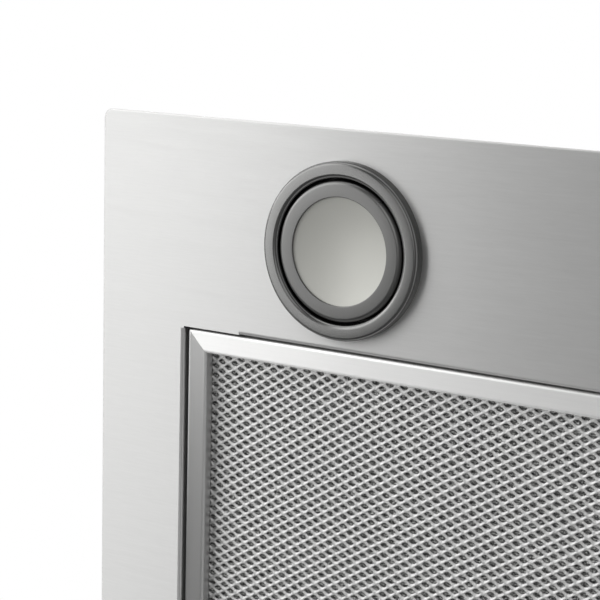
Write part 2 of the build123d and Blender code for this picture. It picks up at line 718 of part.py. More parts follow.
def blade():
    """One forward-curved blade: an arc from the inner to the outer radius, of even thickness."""
    swing = 360 * BLADE_THICKNESS / (2 * 3.14159265 * IMPELLER_INNER_RADIUS)
    middle = (IMPELLER_INNER_RADIUS + IMPELLER_RADIUS) / 2

    def polar(radius, angle):
        return (radius * cos(radians(angle)), radius * sin(radians(angle)))

    ends = [polar(IMPELLER_INNER_RADIUS, 0), polar(IMPELLER_RADIUS - 0.5, BLADE_LEAD)]
    far_ends = [polar(IMPELLER_INNER_RADIUS, swing), polar(IMPELLER_RADIUS - 0.5, BLADE_LEAD + swing)]
    bend = BLADE_LEAD / 2 - BLADE_BULGE
    near = ThreePointArc(ends[0], polar(middle, bend), ends[1])
    far = ThreePointArc(far_ends[1], polar(middle, bend + swing), far_ends[0])
    section = make_face([near, Line(ends[1], far_ends[1]), far, Line(far_ends[0], ends[0])])
    start = IMPELLER_DISC / 2
    reach = IMPELLER_WIDTH / 2 - IMPELLER_RING - start
    return Pos(start, 0, 0) * extrude(Plane.YZ * section, amount=reach)


def impeller_disc():
    """The middle disc of the double-inlet wheel, with the hub that holds it on the shaft."""
    disc = (-IMPELLER_DISC / 2, IMPELLER_DISC / 2)
    hub = (-HUB_LENGTH, IMPELLER_DISC)
    wheel = rod_x(disc, 0, 0, IMPELLER_RADIUS) + rod_x(hub, 0, 0, HUB_RADIUS)
    return blower_place() * (wheel - rod_x(hub, 0, 0, SHAFT_RADIUS))


def impeller_blades():
    """The forward-curved blades on both faces of the disc."""
    pair = both_sides(blade())
    turns = [blower_place() * Rot(360 * i / BLADE_COUNT, 0, 0) for i in range(BLADE_COUNT)]
    return [turn * side for turn in turns for side in pair]


def impeller_rings():
    """The two end rings that hold the blades' tips."""
    half = IMPELLER_WIDTH / 2
    band = (half - IMPELLER_RING, half)
    ring = rod_x(band, 0, 0, IMPELLER_RADIUS)
    ring -= rod_x(band, 0, 0, IMPELLER_RADIUS - IMPELLER_RING_BAND)
    return [blower_place() * side for side in both_sides(ring)]


def motor_start():
    """How far left of the middle the motor's near face stands."""
    return HUB_LENGTH + MOTOR_FROM_HUB


def motor_shaft():
    """The shaft, fast in the impeller's hub and running in the motor."""
    inside = motor_start() + MOTOR_LENGTH / 2
    return blower_place() * rod_x((-inside, IMPELLER_DISC), 0, 0, SHAFT_RADIUS)


def motor():
    """The motor: a stepped round body with a flange that bolts to the bracket."""
    near = motor_start()
    far = near + MOTOR_LENGTH
    flange = MOTOR_RADIUS + MOTOR_FLANGE
    bore = SHAFT_RADIUS + SHAFT_CLEARANCE
    inside = near + MOTOR_LENGTH / 2 + 1.0
    points = [
        (bore, near),
        (MOTOR_RADIUS * 0.45, near),
        (MOTOR_RADIUS * 0.5, near + 3),
        (MOTOR_RADIUS - 3, near + 3),
        (MOTOR_RADIUS, near + 6),
        (MOTOR_RADIUS, bracket_z - MOTOR_FLANGE_THICKNESS),
        (flange, bracket_z - MOTOR_FLANGE_THICKNESS),
        (flange, bracket_z),
        (MOTOR_RADIUS - 1, bracket_z),
        (MOTOR_RADIUS - 1, far - 5),
        (MOTOR_RADIUS - 6, far),
        (0, far),
        (0, inside),
        (bore, inside),
    ]
    return blower_place() * Rot(0, -90, 0) * turned(points)


def motor_bracket():
    """A three-armed sheet spider that holds the motor in the left inlet."""
    flange = MOTOR_RADIUS + MOTOR_FLANGE
    arm = Pos(grommet_circle / 2, 0) * Rectangle(grommet_circle, BRACKET_ARM)
    arm += Pos(grommet_circle, 0) * Circle(BRACKET_ARM / 2)
    spider = Circle(flange) + [Rot(0, 0, 120 * i) * arm for i in range(3)]
    spider -= Circle(MOTOR_RADIUS - 1 + FIT)
    sheet = extrude(spider, amount=BRACKET_SHEET)
    return blower_place() * Rot(0, -90, 0) * Pos(0, 0, bracket_z) * sheet


def motor_grommets():
    """Rubber bushes between the bracket's arms and the scroll's side."""
    bush = Pos(grommet_circle, 0, scroll_side) * Cylinder(GROMMET_RADIUS, GROMMET_HEIGHT, align=MIN_Z)
    bushes = [Rot(0, 0, 120 * i) * bush for i in range(3)]
    return [blower_place() * Rot(0, -90, 0) * copy for copy in bushes]


def collar_screw_places():
    """Where the collar's four screws stand."""
    ends = (-collar_screw_place, collar_screw_place)
    return [(x, collar_y + y) for x in ends for y in ends]


def collar_screw_holes():
    """Clearance holes for the collar's screws through the flange and the box top."""
    reach = (box_under - 1, seat_z + 1)
    return [rod_z(x, y, reach, COLLAR_SCREW_RADIUS + PRESS) for x, y in collar_screw_places()]


def outlet_collar():
    """The moulded duct collar: a square flange, a round spigot and a seat for the flaps."""
    flange = Pos(0, collar_y) * RectangleRounded(2 * collar_half, 2 * collar_half, COLLAR_CORNER_RADIUS)
    flange -= Pos(0, collar_y) * Circle(seat_radius)
    collar = Pos(0, 0, box_top) * extrude(flange, amount=COLLAR_FLANGE_THICKNESS)
    tube = rod_z(0, collar_y, (seat_z, box_top + SPIGOT_HEIGHT), SPIGOT_RADIUS)
    tube -= rod_z(0, collar_y, (seat_z, box_top + SPIGOT_HEIGHT), spigot_bore)
    collar += tube
    boss_x = (spigot_bore - DAMPER_BOSS, spigot_bore + SPIGOT_WALL / 2)
    collar += both_sides(rod_x(boss_x, collar_y, axle_z, knuckle_radius))
    collar -= rod_x((-spigot_bore, spigot_bore), collar_y, axle_z, AXLE_RADIUS)
    return collar - collar_screw_holes()


def collar_screws():
    """Four dome-headed screws that hold the collar to the box top."""
    shank = seat_z - box_under
    head = Cone(COLLAR_SCREW_HEAD, COLLAR_SCREW_HEAD * 0.6, 2.2, align=MIN_Z)
    screw = head + Pos(0, 0, -shank) * Cylinder(COLLAR_SCREW_RADIUS, shank, align=MIN_Z)
    return [Pos(x, y, seat_z) * screw for x, y in collar_screw_places()]


def damper_axle():
    """The rod across the spigot that both flaps turn on."""
    return rod_x((-axle_half, axle_half), collar_y, axle_z, AXLE_RADIUS)


def damper_flap(first):
    """A half-round flap on the +Y side, with every second knuckle on the axle, from number first."""
    span = spigot_bore - DAMPER_BOSS - 1.0
    count = 2 * KNUCKLES_PER_FLAP
    pitch = 2 * span / count
    starts = [-span + pitch * i for i in range(count)]
    own = [(x + KNUCKLE_GAP / 2, x + pitch - KNUCKLE_GAP / 2) for x in starts[first::2]]
    low = seat_z + FLAP_REST_GAP
    top = low + FLAP_THICKNESS
    radius = spigot_bore - FLAP_EDGE_GAP
    clear = knuckle_radius + KNUCKLE_GAP
    leaf = rod_z(0, 0, (low, top), radius)
    leaf -= block((-radius, radius), (-radius, clear), (low, top))
    for x in own:
        leaf += block(x, (0, clear + 1), (low, top))
        leaf += rod_x(x, 0, axle_z, knuckle_radius)
    for x in own:
        leaf -= rod_x(x, 0, axle_z, AXLE_RADIUS + AXLE_CLEARANCE)
    rib_length = (clear + 3, radius * 0.8)
    leaf += [block((x - 1, x + 1), rib_length, (top, top + 2)) for x in (-radius / 3, radius / 3)]
    return leaf


def damper_flaps():
    """The rear flap, and the front flap turned to face it."""
    rear = Pos(0, collar_y, 0) * damper_flap(0)
    front = Pos(0, collar_y, 0) * Rot(0, 0, 180) * damper_flap(0)
    return rear, front


def button_places():
    """The middle of each button along X."""
    middle = (len(BUTTON_NAMES) - 1) / 2
    return [(i - middle) * BUTTON_PITCH for i in range(len(BUTTON_NAMES))]


def control_bezel():
    """The moulded bezel that snaps into the control cut-out and guides the buttons."""
    rim = (bezel_width + 2 * BEZEL_FLANGE, bezel_depth + 2 * BEZEL_FLANGE)
    flange = extrude(RectangleRounded(*rim, BEZEL_CORNER_RADIUS), amount=BEZEL_FLANGE_THICKNESS)
    bezel = Pos(0, 0, bezel_under) * flange
    half_x, half_y = bezel_width / 2, bezel_depth / 2
    bezel += block((-half_x, half_x), (-half_y, half_y), (plate_under, BEZEL_BODY))
    snap_y = (-BEZEL_SNAP_WIDTH / 2, BEZEL_SNAP_WIDTH / 2)
    bezel += both_sides(block((half_x, half_x + BEZEL_SNAP), snap_y, (FIT, FIT + BEZEL_SNAP)))
    hole_x = BUTTON_WIDTH / 2 + BUTTON_CLEARANCE
    hole_y = BUTTON_DEPTH / 2 + BUTTON_CLEARANCE
    for x in button_places():
        bezel -= block((x - hole_x, x + hole_x), (-hole_y, hole_y), (bezel_under, BEZEL_BODY))
    return Pos(0, lamp_y, 0) * bezel


def push_button(x):
    """A button with rounded face edges and a collar that stops it from falling out."""
    half_x, half_y = BUTTON_WIDTH / 2, BUTTON_DEPTH / 2
    face = bezel_under - BUTTON_PROUD
    cap = block((-half_x, half_x), (-half_y, half_y), (face, collar_low))
    cap = fillet(cap.faces().sort_by(Axis.Z)[0].edges(), BUTTON_ROUND)
    ledge_x, ledge_y = half_x + BUTTON_COLLAR, half_y + BUTTON_COLLAR
    cap += block(
        (-ledge_x, ledge_x), (-ledge_y, ledge_y), (collar_low, collar_low + BUTTON_COLLAR_THICKNESS)
    )
    return Pos(x, lamp_y, 0) * cap


def switch_block():
    """The switch block over the buttons, with a pocket for each one and spade tabs on top."""
    half_x, half_y = bezel_width / 2, bezel_depth / 2
    top = BEZEL_BODY + SWITCH_HEIGHT
    body = block((-half_x, half_x), (-half_y, half_y), (BEZEL_BODY, top))
    room_x = BUTTON_WIDTH / 2 + BUTTON_COLLAR + BUTTON_CLEARANCE
    room_y = BUTTON_DEPTH / 2 + BUTTON_COLLAR + BUTTON_CLEARANCE
    tab_x, tab_y = SWITCH_TAB_THICKNESS / 2, SWITCH_TAB_WIDTH / 2
    for x in button_places():
        body -= block((x - room_x, x + room_x), (-room_y, room_y), (BEZEL_BODY, pocket_high))
        body += block((x - tab_x, x + tab_x), (-tab_y, tab_y), (top, top + SWITCH_TAB_HEIGHT))
    return Pos(0, lamp_y, 0) * body


def wiring_box():
    """The open wiring box on the deck, with the gland's hole in its rear wall."""
    half_x = WIRING_WIDTH / 2
    outside = block((-half_x, half_x), (-wiring_rear, wiring_rear), (0, WIRING_HEIGHT))
    outside = fillet(outside.edges().filter_by(Axis.Z), WIRING_WALL * 2)
    inner_x, inner_y = half_x - WIRING_WALL, wiring_rear - WIRING_WALL
    inside = block((-inner_x, inner_x), (-inner_y, inner_y), (WIRING_WALL, WIRING_HEIGHT))
    hole = gland_place() * Cylinder(GLAND_NECK + PRESS, 4 * WIRING_WALL)
    return Pos(wiring_x, 0, CASING_HEIGHT) * (outside - inside - hole)


def gland_place():
    """The gland's place in the wiring box's own frame: on the rear wall, pointing back."""
    return Pos(0, wiring_rear, GLAND_HEIGHT) * Rot(-90, 0, 0)


def wiring_lid():
    """The lid, a plate with a skirt that fits inside the wiring box."""
    half_x = WIRING_WIDTH / 2
    low = CASING_HEIGHT + WIRING_HEIGHT
    plate = block((-half_x, half_x), (-wiring_rear, wiring_rear), (low, low + WIRING_LID))
    plate = fillet(plate.edges().filter_by(Axis.Z), WIRING_WALL * 2)
    outer_x, outer_y = half_x - WIRING_WALL - FIT, wiring_rear - WIRING_WALL - FIT
    inner_x, inner_y = outer_x - WIRING_WALL, outer_y - WIRING_WALL
    skirt = (low - WIRING_LID_SKIRT, low)
    rim = block((-outer_x, outer_x), (-outer_y, outer_y), skirt)
    rim -= block((-inner_x, inner_x), (-inner_y, inner_y), skirt)
    return Pos(wiring_x, 0, 0) * (plate + rim)


def capacitor():
    """The motor's run capacitor, lying on the wiring box's floor."""
    low = CASING_HEIGHT + WIRING_WALL + CAPACITOR_RADIUS
    can = Rot(90, 0, 0) * Cylinder(CAPACITOR_RADIUS, CAPACITOR_LENGTH)
    return Pos(wiring_x, -WIRING_WALL - CAPACITOR_LENGTH / 4, low) * can


def cable_gland():
    """The cable gland: a neck through the wall, a lock flange inside and a nut outside."""
    inside = -WIRING_WALL - GLAND_INSIDE / 2
    points = [
        (GLAND_BORE, inside),
        (GLAND_NUT, inside),
        (GLAND_NUT, -WIRING_WALL),
        (GLAND_NECK, -WIRING_WALL),
        (GLAND_NECK, 0),
        (GLAND_NUT, 0),
        (GLAND_NUT, GLAND_NUT_LENGTH - 3),
        (GLAND_NUT - 3, GLAND_NUT_LENGTH),
        (GLAND_BORE, GLAND_NUT_LENGTH),
    ]
    return Pos(wiring_x, 0, CASING_HEIGHT) * gland_place() * turned(points)


def group(solids):
    """Several separate solids as one node."""
    return Compound(children=list(solids))


def lamp_nodes():
    """Both lamps, piece by piece."""
    pieces = {
        "lamp_bezel": lamp_bezel(),
        "lamp_ring": lamp_ring(),
        "lamp_lens": lamp_lens(),
        "lamp_body": lamp_body(),
    }
    places = {"left": Pos(-lamp_x, lamp_y, 0), "right": Pos(lamp_x, lamp_y, 0)}
    nodes = {
        f"{name}_{side}": place * piece for side, place in places.items() for name, piece in pieces.items()
    }
    nodes["lamp_boards"] = group(place * lamp_board() for place in places.values())
    nodes["lamp_clips"] = group(place * clip for place in places.values() for clip in lamp_clips())
    return nodes


def named(names, solids):
    """Pairs of node names and solids."""
    return dict(zip(names, solids))


def all_nodes():
    """Every node of the hood by name."""
    walls = ("front", "rear", "right", "left")
    left_scroll = scroll_half_shell()
    nodes = {"base_plate": base_plate()}
    nodes |= lamp_nodes()
    nodes |= named([f"filter_bar_{wall}" for wall in walls], filter_bars())
    nodes |= named(["filter_mesh_front", "filter_core", "filter_mesh_back"], filter_layers())
    nodes["filter_pins"] = group(filter_pins())
    nodes["filter_brackets"] = group(pivot_brackets())
    nodes["latch_housing"] = latch_housing()
    nodes["latch_slider"] = latch_slider()
    nodes |= named([f"casing_{wall}" for wall in (*walls, "deck")], casing_panels())
    nodes |= named([f"blower_box_{wall}" for wall in (*walls, "top")], box_panels())
    lower = rivets(casing_x, casing_y, 0, deck_under)
    upper = rivets(BOX_WIDTH / 2, BOX_DEPTH / 2, CASING_HEIGHT, box_under)
    nodes["panel_rivets"] = group(lower + upper)
    nodes["fixing_clips"] = group(fixing_clips())
    nodes["scroll_left"] = left_scroll
    nodes["scroll_right"] = mirror(left_scroll, about=Plane.YZ)
    nodes["impeller_disc"] = impeller_disc()
    nodes["impeller_blades"] = group(impeller_blades())
    nodes["impeller_rings"] = group(impeller_rings())
    nodes["motor_shaft"] = motor_shaft()
    nodes["motor"] = motor()
    nodes["motor_bracket"] = motor_bracket()
    nodes["motor_grommets"] = group(motor_grommets())
    nodes["outlet_collar"] = outlet_collar()
    nodes["collar_screws"] = group(collar_screws())
    nodes["damper_axle"] = damper_axle()
    nodes |= named(["damper_flap_rear", "damper_flap_front"], damper_flaps())
    nodes["control_bezel"] = control_bezel()
    nodes["switch_block"] = switch_block()
    nodes |= {f"button_{name}": push_button(x) for name, x in zip(BUTTON_NAMES, button_places())}
    nodes["wiring_box"] = wiring_box()
    nodes["wiring_lid"] = wiring_lid()
    nodes["capacitor"] = capacitor()
    nodes["cable_gland"] = cable_gland()
    return nodes


os.makedirs("parts", exist_ok=True)
for node_name, solid in all_nodes().items():
    export_step(solid, f"parts/{node_name}.step")
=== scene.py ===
"""Looks of a built-in range hood: brushed plate, lamps, mesh filter, sheet-metal casing and stage."""

import json
from math import cos, pi, radians, sin

import bmesh
import bpy
from bpy.props import FloatProperty, FloatVectorProperty, IntProperty, PointerProperty
from mathutils import Matrix, Vector


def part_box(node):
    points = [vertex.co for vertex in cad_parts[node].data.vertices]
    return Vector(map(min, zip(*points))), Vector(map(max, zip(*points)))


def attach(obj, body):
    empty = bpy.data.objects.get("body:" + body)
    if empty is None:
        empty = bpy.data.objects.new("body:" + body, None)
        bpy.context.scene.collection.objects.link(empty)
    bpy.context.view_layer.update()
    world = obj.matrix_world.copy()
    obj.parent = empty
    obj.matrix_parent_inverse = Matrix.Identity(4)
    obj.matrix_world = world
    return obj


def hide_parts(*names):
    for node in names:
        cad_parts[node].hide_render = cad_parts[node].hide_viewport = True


bl_info = {
    "name": "Built-in Range Hood",
    "version": (1, 0, 0),
    "blender": (4, 5, 0),
    "location": "View3D > Sidebar > Range Hood",
    "description": "Dresses the range hood's frame with its finishes, lenses, mesh and stage",
    "category": "Object",
}

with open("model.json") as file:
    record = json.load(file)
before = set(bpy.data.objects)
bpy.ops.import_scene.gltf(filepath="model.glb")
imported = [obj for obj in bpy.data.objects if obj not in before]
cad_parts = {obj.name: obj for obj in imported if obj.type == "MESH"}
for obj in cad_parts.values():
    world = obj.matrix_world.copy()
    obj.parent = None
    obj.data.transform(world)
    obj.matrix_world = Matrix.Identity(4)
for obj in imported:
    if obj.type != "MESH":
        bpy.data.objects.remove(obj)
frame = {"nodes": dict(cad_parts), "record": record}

MM = 0.001
FINISH = "finish_"
WHITE = (1.0, 1.0, 1.0, 1.0)

# Softening of the CAD nodes' edges
WELD_DISTANCE = 1e-6
BEVEL_ANGLE = radians(40)
BEVEL_SEGMENTS = 2
SHEET_SLOTS = ("brushed_plate", "casing_sheet", "spring_steel", "filter_frame", "filter_mesh")
# The filter frame's side bars, which take a darker copy of the frame's finish: painted shade
PAINTED_SHADE_BARS = ("filter_bar_left", "filter_bar_right")

# Angles in degrees below which made meshes are shaded smooth, and the distance that joins copies
TURNED_SMOOTH = 35.0
REPEATED_SMOOTH = 40.0
JOIN_DISTANCE = 2e-6

# The range of the noises that the finishes are made from
NOISE_SPAN = (0.3, 0.7)

# The mesh's cells: the bow of a gap's outline and of its hollow, and the height of a strand's shoulder
GAP_BOW = 4 / 3
HOLLOW_BOW = 0.7
SHOULDER = 0.8
INNER_STEPS = 2
INNER_SHIFT = (0.6, 0.45, 0)
WINDOW_ROOM = 1e-5

# Shares of a fastener head's own sizes, and the room left at both ends of a seam of rivets
DOME_STEPS = 8
RIVET_FLOOR = 0.45
RIVET_LIP = 0.95
RIVET_MOUTH = 1.25
SOCKET_RADIUS = 0.4
SOCKET_FLOOR = 0.35
SOCKET_CORNER = 0.4
SOCKET_MOUTH = 1.1
RIVET_END_ROOM = 0.044

# The camera that was fitted to the photo, placed from the plate's front left corner
SENSOR_WIDTH = 36.0
CLIP_END = 100.0
CAMERA_PLACE = (0.4943, -0.0693, -0.6102)
CAMERA_RIGHT = Vector((0.83564, -0.02533, 0.54869))
CAMERA_DOWN = Vector((0.12242, 0.98240, -0.14108))
CAMERA_AHEAD = Vector((-0.53546, 0.18507, 0.82403))

# Lights: setting, place and target from the plate's front left corner, and size
LIGHT_AIM = (0.12, 0.1, 0.0)
LIGHTS = (
    ("key", (-0.89, -0.3, -1.08), (0.08, -0.3, 0.0), (1.4, 0.65)),
    ("rim", (-0.72, -0.98, -0.42), LIGHT_AIM, (1.5, 1.0)),
    ("side", (-1.3, -0.22, -0.6), LIGHT_AIM, (0.45, 0.45)),
    ("fill", (0.3, -0.3, -1.2), LIGHT_AIM, (0.8, 0.8)),
)
TOP_LIGHT_PLACE = (-0.5, -0.5, 2.4)
TOP_LIGHT_SIZE = (0.8, 0.8)


def length(name, description, millimetres):
    """A length property with its default given in millimetres."""
    default = millimetres * MM
    return FloatProperty(name=name, description=description, default=default, unit="LENGTH", precision=5)


def watts(name, description, power):
    """A light's power."""
    return FloatProperty(name=name, description=description, default=power)


class LampSettings(bpy.types.PropertyGroup):
    """Sizes of the lamps' rings and frosted lenses."""

    bezel_wall: length("Bezel wall", "Wall of the bezel's neck", 1.2)
    bezel_round: length("Bezel rounding", "Rounding of the bezel's outer edge", 1.5)
    bezel_roll: length("Bezel roll", "Rounding of the bezel's inner edge, into the groove", 1.8)
    ring_round: length("Ring rounding", "Rounding of the inner ring's outer edge", 2.0)
    ring_reach: length("Ring reach", "How far the inner ring's rounded edge stands out into the groove", 0.6)
    window_round: length("Window rounding", "Rounding of the inner ring's window", 0.3)
    lens_lip: length("Lens lip", "How far the ring's lip covers the lens", 1.0)
    lens_room: length("Lens room", "Room round the lens in its rabbet", 0.2)
    dish: length("Dish", "How far the lens face is hollowed at its middle", 2.7)
    thickness: length("Thickness", "Thickness of the lens at its rim", 3.0)
    rings: IntProperty(name="Rings", description="Rings of faces across the dish", default=24)
    segments: IntProperty(name="Segments", description="Faces round a lamp", default=192)


class MeshSettings(bpy.types.PropertyGroup):
    """Sizes of the expanded aluminium mesh in the grease filter."""

    pitch_along: length("Pitch along", "Distance between neighbouring gaps along X", 6.3)
    pitch_across: length("Pitch across", "Distance between neighbouring rows of strands along Y", 2.0)
    gap_along: length("Gap along", "Length of a gap along X", 3.6)
    gap_across: length("Gap across", "Width of a gap along Y", 2.3)
    gap_shift: length("Gap shift", "How far a gap lies forward of its cell's middle", 0.3)
    hollow: length("Hollow", "How far the sheet sinks at a gap's rear side", 0.5)
    crest: FloatProperty(name="Crest", description="Share of a strand's width that stays flat", default=0.25)
    crown: length("Crown", "How far a strand's middle stands out", 0.12)
    fine: FloatProperty(
        name="Fine", description="Size of the inner layer's cells against the others", default=0.6
    )
    strand_width: length("Strand width", "Width of a strand's face in the inner layers", 1.3)
    strand_sheet: length("Strand sheet", "Thickness of the sheet the mesh is cut from", 0.2)
    tilt: FloatProperty(
        name="Tilt", description="Turn of the inner strands", default=radians(25), subtype="ANGLE"
    )
    steps: IntProperty(name="Steps", description="Steps along one side of a gap", default=4)
    strips: IntProperty(name="Strips", description="Pieces that the front layer is made in", default=5)
    inner_strips: IntProperty(
        name="Inner strips", description="Pieces that an inner layer is made in", default=2
    )
    inner_layers: IntProperty(
        name="Inner layers", description="Fine layers between front and back", default=2
    )
    inner_depth: length("Inner depth", "How far the first inner layer lies behind the core's face", 0.45)
    inner_step: length("Inner step", "Distance between the inner layers", 1.0)
    edge_inset: length("Edge inset", "Room between the mesh and the frame's outer wall", 1.0)
    latch_cover: length("Latch cover", "How far the latch's flange covers the mesh", 4.0)


class FastenerSettings(bpy.types.PropertyGroup):
    """Sizes of the rivet and screw heads."""

    rivet_radius: length("Rivet radius", "Radius of a blind rivet's head", 2.8)
    rivet_height: length("Rivet height", "Height of a blind rivet's head", 1.0)
    rivet_hole: length("Rivet hole", "Radius of the mandrel hole in a rivet", 0.9)
    screw_radius: length("Screw radius", "Radius of a collar screw's head", 3.8)
    screw_height: length("Screw height", "Height of a collar screw's head", 2.2)
    segments: IntProperty(name="Segments", description="Faces round a head", default=32)


class EdgeSettings(bpy.types.PropertyGroup):
    """Softening of edges on sheet and moulded parts."""

    sheet: length("Sheet edge", "Rounding of cut sheet edges", 0.12)
    moulded: length("Moulded edge", "Rounding of moulded edges", 0.3)


class StageSettings(bpy.types.PropertyGroup):
    """The camera, the floor and the lights."""

    lens: FloatProperty(name="Lens", description="Focal length on a 36 mm sensor", default=114.65)
    floor_drop: length("Floor drop", "How far the floor lies under the plate", 3000.0)
    floor_size: length("Floor size", "Width of the floor", 14000.0)
    ambient: FloatProperty(
        name="Ambient", description="Strength of the even surrounding light", default=0.22
    )
    key: watts("Key", "Power of the long light at the left, in watts", 8.2)
    rim: watts("Rim", "Power of the low light at the front left, in watts", 5.0)
    fill: watts("Fill", "Power of the light under the filter, in watts", 2.2)
    side: watts("Side", "Power of the low light at the far left, in watts", 3.0)
    top: watts("Top", "Power of the light overhead, in watts", 2.5)
    top_spread: FloatProperty(
        name="Top spread", description="Beam of that light", default=radians(28), subtype="ANGLE"
    )
    tint: FloatVectorProperty(
        name="Tint", description="Colour of the lights", subtype="COLOR", default=(1.0, 1.0, 0.995)
    )


class HoodSettings(bpy.types.PropertyGroup):
    """All settings of the hood's looks."""

    lamp: PointerProperty(type=LampSettings, name="Lamp", description="Lamp rings and lenses")
    mesh: PointerProperty(type=MeshSettings, name="Mesh", description="Filter mesh")
    fasteners: PointerProperty(type=FastenerSettings, name="Fasteners", description="Rivets and screws")
    edges: PointerProperty(type=EdgeSettings, name="Edges", description="Soft edges")
    stage: PointerProperty(type=StageSettings, name="Stage", description="Camera, floor and lights")


# Shader node groups


def socket(tree, name, kind, default=None, output=False):
    """Adds a named socket to a node group."""
    item = tree.interface.new_socket(name, in_out="OUTPUT" if output else "INPUT", socket_type=kind)
    if default is not None:
        item.default_value = default
    return item


def shader_group(name, inputs, outputs):
    """A new shader node group with its input and output nodes."""
    tree = bpy.data.node_groups.new(name, "ShaderNodeTree")
    for label, kind, default in inputs:
        socket(tree, label, kind, default)
    for label, kind in outputs:
        socket(tree, label, kind, output=True)
    return tree, tree.nodes.new("NodeGroupInput"), tree.nodes.new("NodeGroupOutput")


def node(tree, kind, inputs=None, **settings):
    """Adds a node, sets its properties and fills its inputs with links or values."""
    new = tree.nodes.new(kind)
    for key, value in settings.items():
        setattr(new, key, value)
    for key, value in (inputs or {}).items():
        if isinstance(value, bpy.types.NodeSocket):
            tree.links.new(value, new.inputs[key])
        else:
            new.inputs[key].default_value = value
    return new


def mapped(tree, value, span, low, high):
    """A socket that carries a value from a span over to the range from low to high."""
    return node(tree, "ShaderNodeMapRange", {0: value, 1: span[0], 2: span[1], 3: low, 4: high}).outputs[0]


def computed(tree, operation, *values):
    """The result of a Math node on sockets or numbers."""
    return node(tree, "ShaderNodeMath", dict(enumerate(values)), operation=operation).outputs[0]


def brushed_group():
    """Streaks of brushing: a tone, a roughness and a normal from stretched noise."""
    tree, given, result = shader_group(
        "Brushed Streaks",
        [
            ("Stretch", "NodeSocketVector", (6.0, 700.0, 700.0)),
            ("Fine Stretch", "NodeSocketVector", (30.0, 5000.0, 5000.0)),
            ("Depth", "NodeSocketFloat", 0.05),
            ("Low", "NodeSocketFloat", 0.92),
            ("Roughness", "NodeSocketFloat", 0.3),
        ],
        [("Tone", "NodeSocketFloat"), ("Roughness", "NodeSocketFloat"), ("Normal", "NodeSocketVector")],
    )
    place = node(tree, "ShaderNodeTexCoord").outputs["Object"]
    noises = []
    for stretch, detail in (("Stretch", 3.0), ("Fine Stretch", 2.0)):
        drawn = {0: place, 1: given.outputs[stretch]}
        drawn = node(tree, "ShaderNodeVectorMath", drawn, operation="MULTIPLY").outputs[0]
        noise = {"Vector": drawn, "Scale": 1.0, "Detail": detail}
        noises.append(node(tree, "ShaderNodeTexNoise", noise).outputs[0])
    mixed = node(tree, "ShaderNodeMix", {0: 0.55, 2: noises[0], 3: noises[1]}).outputs[0]
    tone = mapped(tree, mixed, NOISE_SPAN, given.outputs["Low"], 1.0)
    spread = mapped(tree, mixed, NOISE_SPAN, 0.93, 1.07)
    rough = computed(tree, "MULTIPLY", given.outputs["Roughness"], spread)
    bump = {"Height": mixed, "Strength": given.outputs["Depth"], "Distance": 0.0002}
    bump = node(tree, "ShaderNodeBump", bump).outputs[0]
    tree.links.new(tone, result.inputs["Tone"])
    tree.links.new(rough, result.inputs["Roughness"])
    tree.links.new(bump, result.inputs["Normal"])
    return tree


def grain_group():
    """The fine grain of a moulded, cast or painted surface: a tone, a roughness and a normal."""
    tree, given, result = shader_group(
        "Fine Grain",
        [
            ("Scale", "NodeSocketFloat", 2500.0),
            ("Cloud Scale", "NodeSocketFloat", 25.0),
            ("Depth", "NodeSocketFloat", 0.15),
            ("Height", "NodeSocketFloat", 0.0002),
            ("Dark", "NodeSocketFloat", 0.3),
            ("Light", "NodeSocketFloat", 0.7),
            ("Low", "NodeSocketFloat", 0.88),
            ("Roughness", "NodeSocketFloat", 0.5),
        ],
        [("Tone", "NodeSocketFloat"), ("Roughness", "NodeSocketFloat"), ("Normal", "NodeSocketVector")],
    )
    place = node(tree, "ShaderNodeTexCoord").outputs["Object"]
    cloud = {"Vector": place, "Scale": given.outputs["Cloud Scale"], "Detail": 4.0}
    cloud = node(tree, "ShaderNodeTexNoise", cloud).outputs[0]
    speck = {"Vector": place, "Scale": given.outputs["Scale"], "Detail": 2.0}
    speck = node(tree, "ShaderNodeTexNoise", speck).outputs[0]
    mixed = node(tree, "ShaderNodeMix", {0: 0.4, 2: cloud, 3: speck}).outputs[0]
    span = (given.outputs["Dark"], given.outputs["Light"])
    tone = mapped(tree, mixed, span, given.outputs["Low"], 1.0)
    spread = mapped(tree, cloud, NOISE_SPAN, 0.88, 1.12)
    rough = computed(tree, "MULTIPLY", given.outputs["Roughness"], spread)
    bump = {"Height": speck, "Strength": given.outputs["Depth"], "Distance": given.outputs["Height"]}
    bump = node(tree, "ShaderNodeBump", bump).outputs[0]
    tree.links.new(tone, result.inputs["Tone"])
    tree.links.new(rough, result.inputs["Roughness"])
    tree.links.new(bump, result.inputs["Normal"])
    return tree


def spangle_group():
    """The crystal pattern of galvanised sheet: a tone and a roughness that change from flake to flake."""
    tree, given, result = shader_group(
        "Zinc Spangle",
        [
            ("Scale", "NodeSocketFloat", 110.0),
            ("Low", "NodeSocketFloat", 0.8),
            ("Roughness", "NodeSocketFloat", 0.4),
        ],
        [("Tone", "NodeSocketFloat"), ("Roughness", "NodeSocketFloat")],
    )
    place = node(tree, "ShaderNodeTexCoord").outputs["Object"]
    warp = node(tree, "ShaderNodeTexNoise", {"Vector": place, "Scale": 60.0, "Detail": 2.0})
    bent = node(
        tree,
        "ShaderNodeVectorMath",
        {0: warp.outputs[1], 1: (0.006, 0.006, 0.006), 2: place},
        operation="MULTIPLY_ADD",
    )
    flake = node(tree, "ShaderNodeTexVoronoi", {"Vector": bent.outputs[0], "Scale": given.outputs["Scale"]})
    shade = node(tree, "ShaderNodeSeparateColor", {0: flake.outputs["Color"]})
    tone = mapped(tree, shade.outputs[0], (0.0, 1.0), given.outputs["Low"], 1.0)
    spread = mapped(tree, shade.outputs[1], (0.0, 1.0), 0.8, 1.2)
    rough = computed(tree, "MULTIPLY", given.outputs["Roughness"], spread)
    tree.links.new(tone, result.inputs["Tone"])
    tree.links.new(rough, result.inputs["Roughness"])
    return tree


